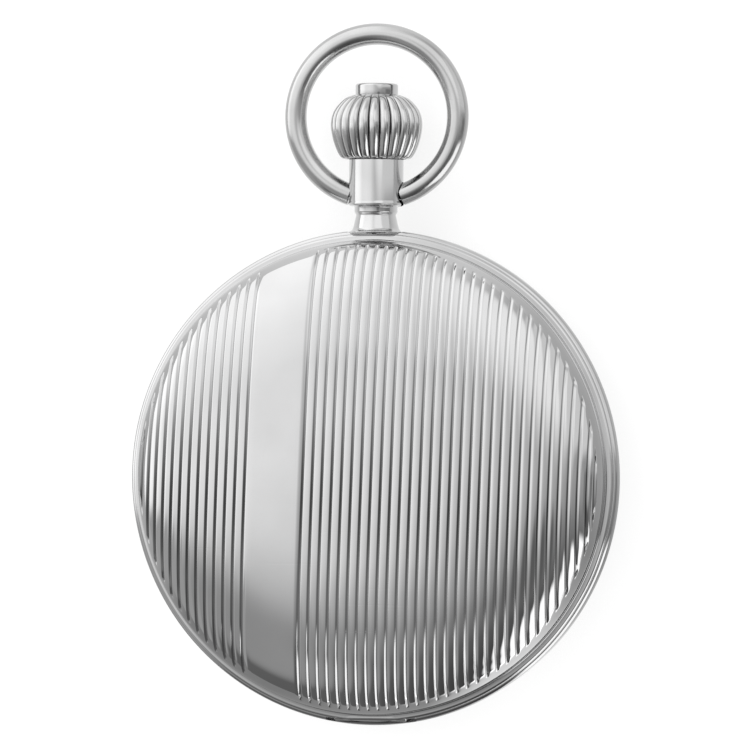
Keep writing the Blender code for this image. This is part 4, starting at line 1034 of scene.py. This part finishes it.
def bridges():
    def well(outline, floor):
        return sheet_piece("well", [outline], (BRIDGES[0] - 1, floor), "striped", edge=0.0)

    def plate(name, outlines, heights=BRIDGES, edge=0.1, steps=3):
        return sheet_piece(name, outlines, heights, "striped", edge=edge, bevel_steps=steps)

    outline = [(-17.4, -3.4), (-9.0, -2.6), (-2.3, -1.2), (-1.75, 2.2), (-0.6, 3.5), (3.9, 6.9), (5.6, 10.5)]
    outline = arc(17.8, 68, 190, 60) + rounded(outline, 1.0, 6, False)
    made = plate("barrel_bridge_striped", [outline, circle(0.69, 40, BARREL)])
    cut(
        made,
        well(circle(6.3, 128, BARREL), 4.62),
        well(circle(3.98, 96, CROWN_WHEEL), 4.86),
        well(capsule(CLICK_PIVOT, CLICK_TIP, 0.8), 4.6),
        rod("pinion_well", 1.86, 10.2, 15.6, "striped", (0, MID_Z), "Y"),
    )
    for foot in BARREL_BRIDGE_FEET:
        gather(made, post(1.1, 5.0, foot, 0.06))
    gather(made, rod("click_post", 0.2, 4.1, 4.8, "striped", CLICK_PIVOT, steps=24))
    stands_for(level(made), "case", "barrel_bridge")

    outline = [(17.7, -1.4), (9.0, 0.6), (2.8, 2.6), (-1.2, 1.9), (-1.7, -1.4), (-1.2, -6.2), (-2.2, -9.2)]
    outline += [(-4.6, -10.6), (-5.3, -12.2), (-4.2, -13.6), (-1.5, -14.2), (-0.9, -17.6)]
    outline = arc(17.8, 268, 352, 44) + rounded(outline, 0.9, 6, False)
    holes = [pivot_hole(place) for place in (CENTRE, THIRD, FOURTH, ESCAPE)]
    made = plate("train_bridge_striped", [outline, *holes])
    for foot in TRAIN_BRIDGE_FEET:
        gather(made, post(1.1, 5.0, foot, 0.06))
    stands_for(level(made), "case", "train_bridge")

    outline = capsule(BALANCE, COCK_FOOT, 1.55, 28)
    made = plate("balance_cock_bevelled", [outline, pivot_hole(BALANCE)], (3.7, 4.5))
    boss = rounded([(0.17, 3.45), (0.41, 3.45), (0.41, 3.75), (0.17, 3.75)], 0.04, 2)
    gather(made, post(1.3, 4.45, COCK_FOOT, 0.05), turned("boss", boss, "striped", 40, BALANCE))
    stands_for(level(made), "case", "balance_cock")

    outline = capsule(PALLET, PALLET_FOOT, 0.7, 20)
    made = plate("pallet_cock_bevelled", [outline, pivot_hole(PALLET, 20)], (5.8, 6.1), 0.06, 2)
    gather(made, post(0.66, 6.05, PALLET_FOOT, steps=32))
    stands_for(level(made), "case", "pallet_cock")


def jewels_and_screws():
    back = BRIDGES[0]
    places = [(THIRD, 0.5), (FOURTH, 0.5), (ESCAPE, 0.45), (CENTRE, 0.6)]
    stones = [jewel(at, back, r) for at, r in places]
    joined("bridge_jewels", [*stones, jewel(BALANCE, 3.47, 0.4)], "case")
    joined("jewel_settings", [setting_ring(at, back, r) for at, r in places], "case")
    feet = zip((*BARREL_BRIDGE_FEET, *TRAIN_BRIDGE_FEET), (20.0, 75.0, -35.0, 110.0))
    heads = [screw_head(at, back, 0.85, lean) for at, lean in feet]
    heads += [screw_head(COCK_FOOT, 3.7, 0.8, 50.0), screw_head(polar(14.2, 70), back, 0.55, 5.0)]
    joined("bridge_screws", heads, "case")


def winding_work():
    low = 4.02
    teeth = gear(RATCHET_TEETH, WINDING_MODULE, mesh_turn(BARREL, CROWN_WHEEL, RATCHET_TEETH))
    wheel = sheet_piece("ratchet_wheel_snailed", [teeth, circle(0.5, 32)], (low, 4.56), "ratchet_steel", BARREL)
    stands_for(wheel, "ratchet", "ratchet_wheel")
    turn = mesh_turn(CROWN_WHEEL, BARREL, CROWN_WHEEL_TEETH, 0.5)
    outlines = [gear(CROWN_WHEEL_TEETH, WINDING_MODULE, turn), circle(1.05, 40)]
    wheel = sheet_piece("crown_wheel_snailed", outlines, (low, 4.8), "crown_wheel_steel", CROWN_WHEEL)
    stands_for(wheel, "crown_wheel", "crown_wheel")
    head = screw_head(BARREL, 4.0, 0.9, 25.0, 0.38)
    shank = rod("shank", 0.4, 3.9, 4.4, "blued", BARREL, steps=24)
    joined("ratchet_screw_blued", [head, shank], "ratchet", "ratchet_screw")
    head = screw_head(CROWN_WHEEL, 3.98, 1.3, -20.0, 0.33)
    shank = rod("shank", 0.98, 3.95, 4.75, "blued", CROWN_WHEEL, steps=32)
    joined("crown_wheel_screw_blued", [head, shank], "case", "crown_wheel_screw")
    arm = capsule(CLICK_PIVOT, towards(CLICK_PIVOT, CLICK_TIP, 1.95), 0.42, 16, 0.2)
    made = sheet_piece("click_pawl", [arm, circle(0.26, 24, CLICK_PIVOT)], (low, 4.5), "steel", edge=0.04)
    stands_for(made, "click", "click")


def train_wheel(body, at, wheel, heights, next_wheel, pinion, pinion_z, last_wheel, staff_top):
    """A gilt wheel with four spokes, and its pinion and staff. Wheel and pinion are (teeth, module)."""
    teeth, module = wheel
    name = body + "_wheel_gilt"
    outlines = [gear(teeth, module, mesh_turn(at, next_wheel, teeth))]
    outlines += spokes(0.85, teeth * module / 2 - 3.2 * module, 4, 0.42)
    stands_for(sheet_piece(name, outlines, heights, "brass", at, edge=0.025), body, body + "_wheel")
    outline = gear(*pinion, mesh_turn(at, last_wheel, pinion[0], 0.5))
    leaves = sheet_piece(name + "_pinion", [outline], pinion_z, "steel", at, edge=0.02)
    stands_for(gather(leaves, staff(at, 4.4, staff_top)), body)


def train():
    outline = gear(80, 0.14, mesh_turn(CENTRE, THIRD, 80))
    outlines = [outline, *spokes(0.9, 5.12, 4, 0.45)]
    made = sheet_piece("centre_wheel_gilt", outlines, (5.22, 5.46), "brass", edge=0.025)
    stands_for(made, "centre", "centre_wheel")
    outline = gear(12, 0.2079, mesh_turn(CENTRE, BARREL, 12, 0.5), 0.6)
    leaves = sheet_piece("centre_pinion_leaves", [outline], (6.42, 6.93), "steel", edge=0.02)
    profile = [(0.0, 9.0), (0.3, 9.0), (0.3, 8.3), (0.5, 8.3), (0.5, 5.14), (0.12, 5.14), (0.12, 4.3), (0.0, 4.3)]
    stands_for(gather(leaves, turned("staff", profile, "steel", 32)), "centre")
    train_wheel("third", THIRD, (75, 0.13), (6.12, 6.36), FOURTH, (10, 0.14), (5.16, 5.6), CENTRE, 7.9)
    train_wheel("fourth", FOURTH, (80, 0.12), (5.75, 6.0), ESCAPE, (10, 0.13), (6.1, 6.5), THIRD, 9.47)
    outline = [polar(radius, i * 24 + turn) for i in range(15) for radius, turn in ESCAPE_TOOTH]
    outlines = [outline, *spokes(0.6, 1.6, 4, 0.3, 10)]
    made = sheet_piece("escape_wheel_steel", outlines, STEEL_FACES, "steel", ESCAPE, edge=0.02)
    outline = gear(8, 0.12, mesh_turn(ESCAPE, FOURTH, 8, 0.5))
    leaves = sheet_piece("leaves", [outline], (5.68, 6.1), "steel", ESCAPE, edge=0.015)
    stands_for(gather(made, leaves, staff(ESCAPE, 4.4, 7.9)), "escape", "escape_wheel")


def lever():
    line = lean_of(PALLET, BALANCE)
    fork_end = towards(PALLET, BALANCE, 2.5)
    outline = capsule(PALLET, fork_end, 0.24, 14, 0.17)
    parts = [sheet_piece("pallet_fork_polished", [outline], STEEL_FACES, "steel")]
    stones = []
    for side in (1, -1):
        elbow = polar(1.7, line + side * 102, PALLET)
        stone = polar(0.55, line + 180 - side * 8, elbow)
        horn = polar(0.58, line + side * 42, fork_end)
        parts.append(sheet_piece("arm", [capsule(PALLET, elbow, 0.26, 12, 0.2)], STEEL_FACES, "steel"))
        outline = capsule(fork_end, horn, 0.15, 10, 0.09)
        parts.append(sheet_piece("horn", [outline], (6.32, 6.53), "steel", edge=0.02))
        outline = rounded(bar(elbow, stone, 0.3), 0.05, 2)
        stones.append(sheet_piece("pallet_stone", [outline], (6.28, 6.57), "ruby", edge=0.02))
    stands_for(gather(*parts, staff(PALLET, 5.82, 7.9, 0.2, 6.14)), "pallets", "pallet_fork")
    joined("pallet_stones", stones, "pallets")


def balance():
    outlines = [circle(4.72, 128), *spokes(0.7, 4.3, 2, 0.6, 30)]
    made = sheet_piece("balance_wheel_gilt", outlines, (5.2, 5.62), "brass", BALANCE, 25, 0.04, 2)
    weights = []
    for i in range(14):
        a = radians(25 + 12.86 + i * 360 / 14)
        low, high = (Vector((cos(a), sin(a), 0.0)) * radius for radius in (4.6, 5.0))
        shift = Vector((*BALANCE, 5.41))
        path = [low + shift, (low * 0.3 + high * 0.7) + shift, high + shift]
        weights.append(swept("weight", path, 0.17, "brass", 14))
    stands_for(gather(made, *weights), "balance", "balance_wheel")
    profile = [(0.0, 7.9), (0.12, 7.9), (0.12, 6.96), (0.22, 6.9), (0.22, 6.8), (0.95, 6.8), (0.95, 6.66)]
    profile += [(0.22, 6.66), (0.22, 5.66), (0.68, 5.66), (0.68, 5.16), (0.4, 5.1), (0.4, 4.72), (0.2, 4.66)]
    profile += [(0.2, 4.56), (0.1, 4.5), (0.1, 4.0), (0.0, 4.0)]
    axle = turned("balance_staff_polished", profile, "steel", 48, BALANCE)
    pin = rod("impulse_pin", 0.1, 6.3, 6.75, "steel", towards(BALANCE, PALLET, 0.68), steps=12)
    stands_for(gather(axle, pin), "balance")
    turns, per_turn, inner, outer = 8, 40, 0.52, 2.9
    count = turns * per_turn
    radii = [inner + (outer - inner) * i / count for i in range(count + 1)]
    path = [(*polar(r, 360 * i / per_turn, BALANCE), 4.84) for i, r in enumerate(radii)]
    stands_for(swept("hairspring_blued", path, 0.035, "blued", 8), "case", "hairspring")
    outline = arc(0.82, 145, 471, 40) + [(-0.5, 1.0), (-1.55, 1.98), (-1.9, 2.0), (-1.88, 1.66)]
    outlines = [rounded(outline, 0.05, 2), circle(0.45, 40)]
    stands_for(sheet_piece("regulator_index", outlines, (3.5, 3.66), "steel", BALANCE), "regulator", "regulator")


def main_plate():
    outlines = [circle(18.0, 192), circle(0.58, 32), circle(0.69, 32, BARREL)]
    made = sheet_piece("main_plate_spotted", outlines, PLATE, "spotted", edge=0.08, bevel_steps=2)
    keyless = block("keyless_slot", (-1.95, 10.3, 6.5), (1.95, 15.9, 8.5), "steel")
    stud = block("stud_slot", (-0.4, 16.1, 6.5), (0.8, 19.0, 8.5), "steel")
    cut(made, keyless, stud, rod("stem_bore", 0.48, 9.4, 20.0, "steel", (0, MID_Z), "Y"))
    places = ((3.9, 2.6), (3.205, 9.105), (2.9, 16.55), (-4.6, 12.45))
    gather(made, *(rod("post", 0.3, 7.4, 8.7, "spotted", at, steps=24) for at in places))
    stands_for(made, "case", "main_plate")


CARRIED = {
    "case": ("front_hinge_pin", "rear_hinge_pin"),
    "brass": ("movement_holder", "minute_wheel", "hour_wheel", "mainspring_barrel", "barrel_cover"),
    "steel": (
        "lift_spring", "lock_spring", "push_sleeve", "winding_stem", "winding_pinion", "sliding_pinion",
        "setting_lever", "yoke", "setting_wheel", "cannon_pinion", "barrel_arbor", "mainspring",
    ),
}  # fmt: skip


def carry_over():
    """Gives the CAD nodes that stay in view a worn metal."""
    for look, names in CARRIED.items():
        for node in (NODES[name] for name in names):
            node.data.materials.clear()
            node.data.materials.append(LOOKS[look])


# ---------------------------------------------------------------- stage, light and camera
# Brightness that the floor shows to polished metal, by direction round the watch in degrees from +X.
FLOOR_TONES = (
    (-180, 0.55), (-166, 0.6), (-145, 0.32), (-118, 0.32), (-98, 0.38), (-80, 0.4), (-70, 0.78), (-62, 1.1),
    (-48, 1.05), (-34, 0.56), (-20, 0.36), (0, 0.5), (45, 0.66), (70, 0.9), (90, 1.0), (120, 0.95), (180, 0.55),
)  # fmt: skip
# Brightness of the studio by its direction's share along +Y, from 6 o'clock to 12 o'clock.
SKY = (
    (-0.95, 0.14), (-0.67, 0.16), (-0.48, 0.235), (-0.31, 0.43), (-0.18, 0.71), (-0.1, 0.96),
    (0.0, 1.13), (0.16, 1.12), (0.48, 1.34), (0.9, 1.4),
)  # fmt: skip
# The same across, by the share along +X, as a factor.
ACROSS = (
    (-0.95, 1.45), (-0.86, 1.3), (-0.78, 1.12), (-0.48, 1.12), (-0.28, 1.06), (-0.19, 1.0),
    (-0.11, 0.88), (0.06, 0.7), (0.28, 0.58), (0.65, 0.45),
)  # fmt: skip
# Soft boxes and dark flags: aim, inner and outer radius in degrees, and brightness.
FLAGS = (
    ((0.4, 0.5, 0.75), 14.0, 32.0, 1.3),
    ((-0.5, -0.52, 0.72), 6.0, 24.0, 0.42),
    ((0.34, -0.26, 0.9), 3.0, 12.0, 0.16),
    ((0.6, -0.64, 0.48), 10.0, 17.0, 1.75),
    ((0.68, -0.7, 0.15), 14.0, 24.0, 1.75),
)
# Cards at one side: side, nearest edge, y low, y high and soft edge as shares of the direction, and brightness.
CARDS = (
    (1, 0.86, -0.16, 0.02, 0.05, 0.26),
    (1, 0.72, -0.7, -0.31, 0.05, 1.75),
    (1, 0.46, -1.0, -0.56, 0.06, 1.7),
    (1, 0.8, 0.03, 0.09, 0.03, 0.45),
    (1, 0.6, 0.12, 0.75, 0.06, 0.95),
    (-1, 0.72, -0.7, -0.16, 0.06, 0.5),
)
FLOOR_HALF, FLOOR_Z, FLOOR_GLOW = 4000.0, -0.02, 0.73
WHITE_TO_EYE, WHITE_TO_MATT = 0.95, 1.3
CAMERA_YAW, CAMERA_ROLL = 11.0, 0.37
CAMERA_AIM, CAMERA_AWAY = (0.0, 9.93, MID_Z), 582.0
FOCAL, SENSOR = 288.0, 36.0


def floor():
    """A white sweep. In reflections it is graded round the watch, as cards beside it would do."""
    corners = [(x * FLOOR_HALF, y * FLOOR_HALF, FLOOR_Z) for x, y in ((-1, -1), (1, -1), (1, 1), (-1, 1))]
    mesh = mesh_of("floor", corners, [(0, 1, 2, 3)])
    made, nodes, shader, place = new_material("floor_white")
    nodes.feed(shader, {"Base Color": (0.25, 0.25, 0.25, 1.0), "Roughness": 0.9, "Specular IOR Level": 0.0})
    nodes.feed(shader, {"Emission Color": (1.0, 1.0, 1.0, 1.0), "Emission Strength": FLOOR_GLOW})
    turn = nodes.add("TexGradient", {"Vector": place}, gradient_type="RADIAL").outputs["Fac"]
    tone = nodes.ramp(turn, [((a + 180) / 360, (b, b, b)) for a, b in FLOOR_TONES])
    lamp = nodes.add("VectorMath", {0: place, 1: (0.2, -0.21, 0.0)}, operation="DISTANCE").outputs["Value"]
    glow = nodes.add("Emission", {"Color": tone, "Strength": nodes.span(lamp, 0.12, 0.23, 2.6, 1.0, True)})
    glossy = nodes.add("LightPath").outputs["Is Glossy Ray"]
    mix = nodes.add("MixShader", {0: glossy, 1: shader.outputs["BSDF"], 2: glow.outputs["Emission"]})
    nodes.feed(made.node_tree.nodes["Material Output"], {"Surface": mix.outputs["Shader"]})
    mesh.materials.append(made)
    in_scene("floor", mesh)


def blend_to(nodes, value, bright, share):
    change = nodes.math("MULTIPLY", nodes.math("SUBTRACT", bright, value), share)
    return nodes.math("ADD", value, change)


def studio():
    world = bpy.data.worlds.new("studio")
    bpy.context.scene.world = world
    world.use_nodes = True
    nodes = Nodes(world.node_tree)
    way = nodes.add("TexCoord").outputs["Generated"]
    x, y, _ = nodes.add("SeparateXYZ", {"Vector": way}).outputs
    along, across = (
        nodes.ramp(nodes.span(axis, -1.0, 1.0, 0.0, 1.0), [((place + 1) / 2, (b / 2,) * 3) for place, b in stops])
        for axis, stops in ((y, SKY), (x, ACROSS))
    )
    value = nodes.math("MULTIPLY", nodes.math("MULTIPLY", along, across), 4.0)
    for aim, inner, outer, bright in FLAGS:
        inputs = {0: way, 1: Vector(aim).normalized()}
        dot = nodes.add("VectorMath", inputs, operation="DOT_PRODUCT").outputs["Value"]
        share = nodes.span(dot, cos(radians(outer)), cos(radians(inner)), 0.0, 1.0, True)
        value = blend_to(nodes, value, bright, share)
    for side, edge, low, high, soft, bright in CARDS:
        share = nodes.span(x, side * (edge - 0.06), side * (edge + 0.06), 0.0, 1.0, True)
        above = nodes.span(y, low - soft, low + soft / 2, 0.0, 1.0, True)
        below = nodes.span(y, high - soft / 2, high + soft, 1.0, 0.0, True)
        share = nodes.math("MULTIPLY", share, nodes.math("MULTIPLY", above, below))
        value = blend_to(nodes, value, bright, share)
    path = nodes.add("LightPath").outputs
    value = blend_to(nodes, value, WHITE_TO_MATT, path["Is Diffuse Ray"])
    value = blend_to(nodes, value, WHITE_TO_EYE, path["Is Camera Ray"])
    nodes.feed(world.node_tree.nodes["Background"], {"Color": value, "Strength": 1.0})


def soft_box(name, at, size, watts):
    """An area light for matt surfaces. Polished metal shows the graded studio instead."""
    data = bpy.data.lights.new(name, "AREA")
    data.shape = "DISK"
    data.size = size * MM
    data.energy = watts
    light = in_scene(name, data)
    light.location = Vector(at) * MM
    light.rotation_euler = (-Vector(at)).to_track_quat("-Z", "Y").to_euler()
    light.visible_glossy = False


def camera():
    data = bpy.data.cameras.new("camera")
    data.lens = FOCAL
    data.sensor_width = SENSOR
    data.clip_start, data.clip_end = 0.01, 20.0
    made = in_scene("camera", data)
    yaw = radians(CAMERA_YAW)
    back = Vector((sin(yaw), 0.0, cos(yaw)))
    right = Vector((cos(yaw), 0.0, -sin(yaw)))
    turn = Matrix((right, Vector((0.0, 1.0, 0.0)), back)).transposed()
    turn = turn @ Matrix.Rotation(radians(CAMERA_ROLL), 3, "Z")
    made.matrix_world = Matrix.Translation((Vector(CAMERA_AIM) + back * CAMERA_AWAY) * MM) @ turn.to_4x4()
    bpy.context.scene.camera = made


# ---------------------------------------------------------------- assembly
lid_shell()
lid_rim()
rear_cover()
case_band()
bezel("front_bezel_ring", "front_bezel", FRONT_REACH)
bezel("rear_bezel_ring", "rear_bezel", REAR_REACH)
crystal("front_crystal_glass", "front_crystal", FRONT_REACH)
crystal("rear_crystal_glass", "rear_crystal", REAR_REACH)
pendant()
crown()
sleeve_spring()
button()
bow()
dial()
hands()
main_plate()
bridges()
jewels_and_screws()
winding_work()
train()
lever()
balance()
carry_over()
floor()
studio()
soft_box("key_light", (-350.0, 300.0, 650.0), 600.0, 2.0)
soft_box("fill_light", (450.0, -150.0, 550.0), 500.0, 0.9)
camera()
bpy.context.scene.view_settings.view_transform = "Standard"
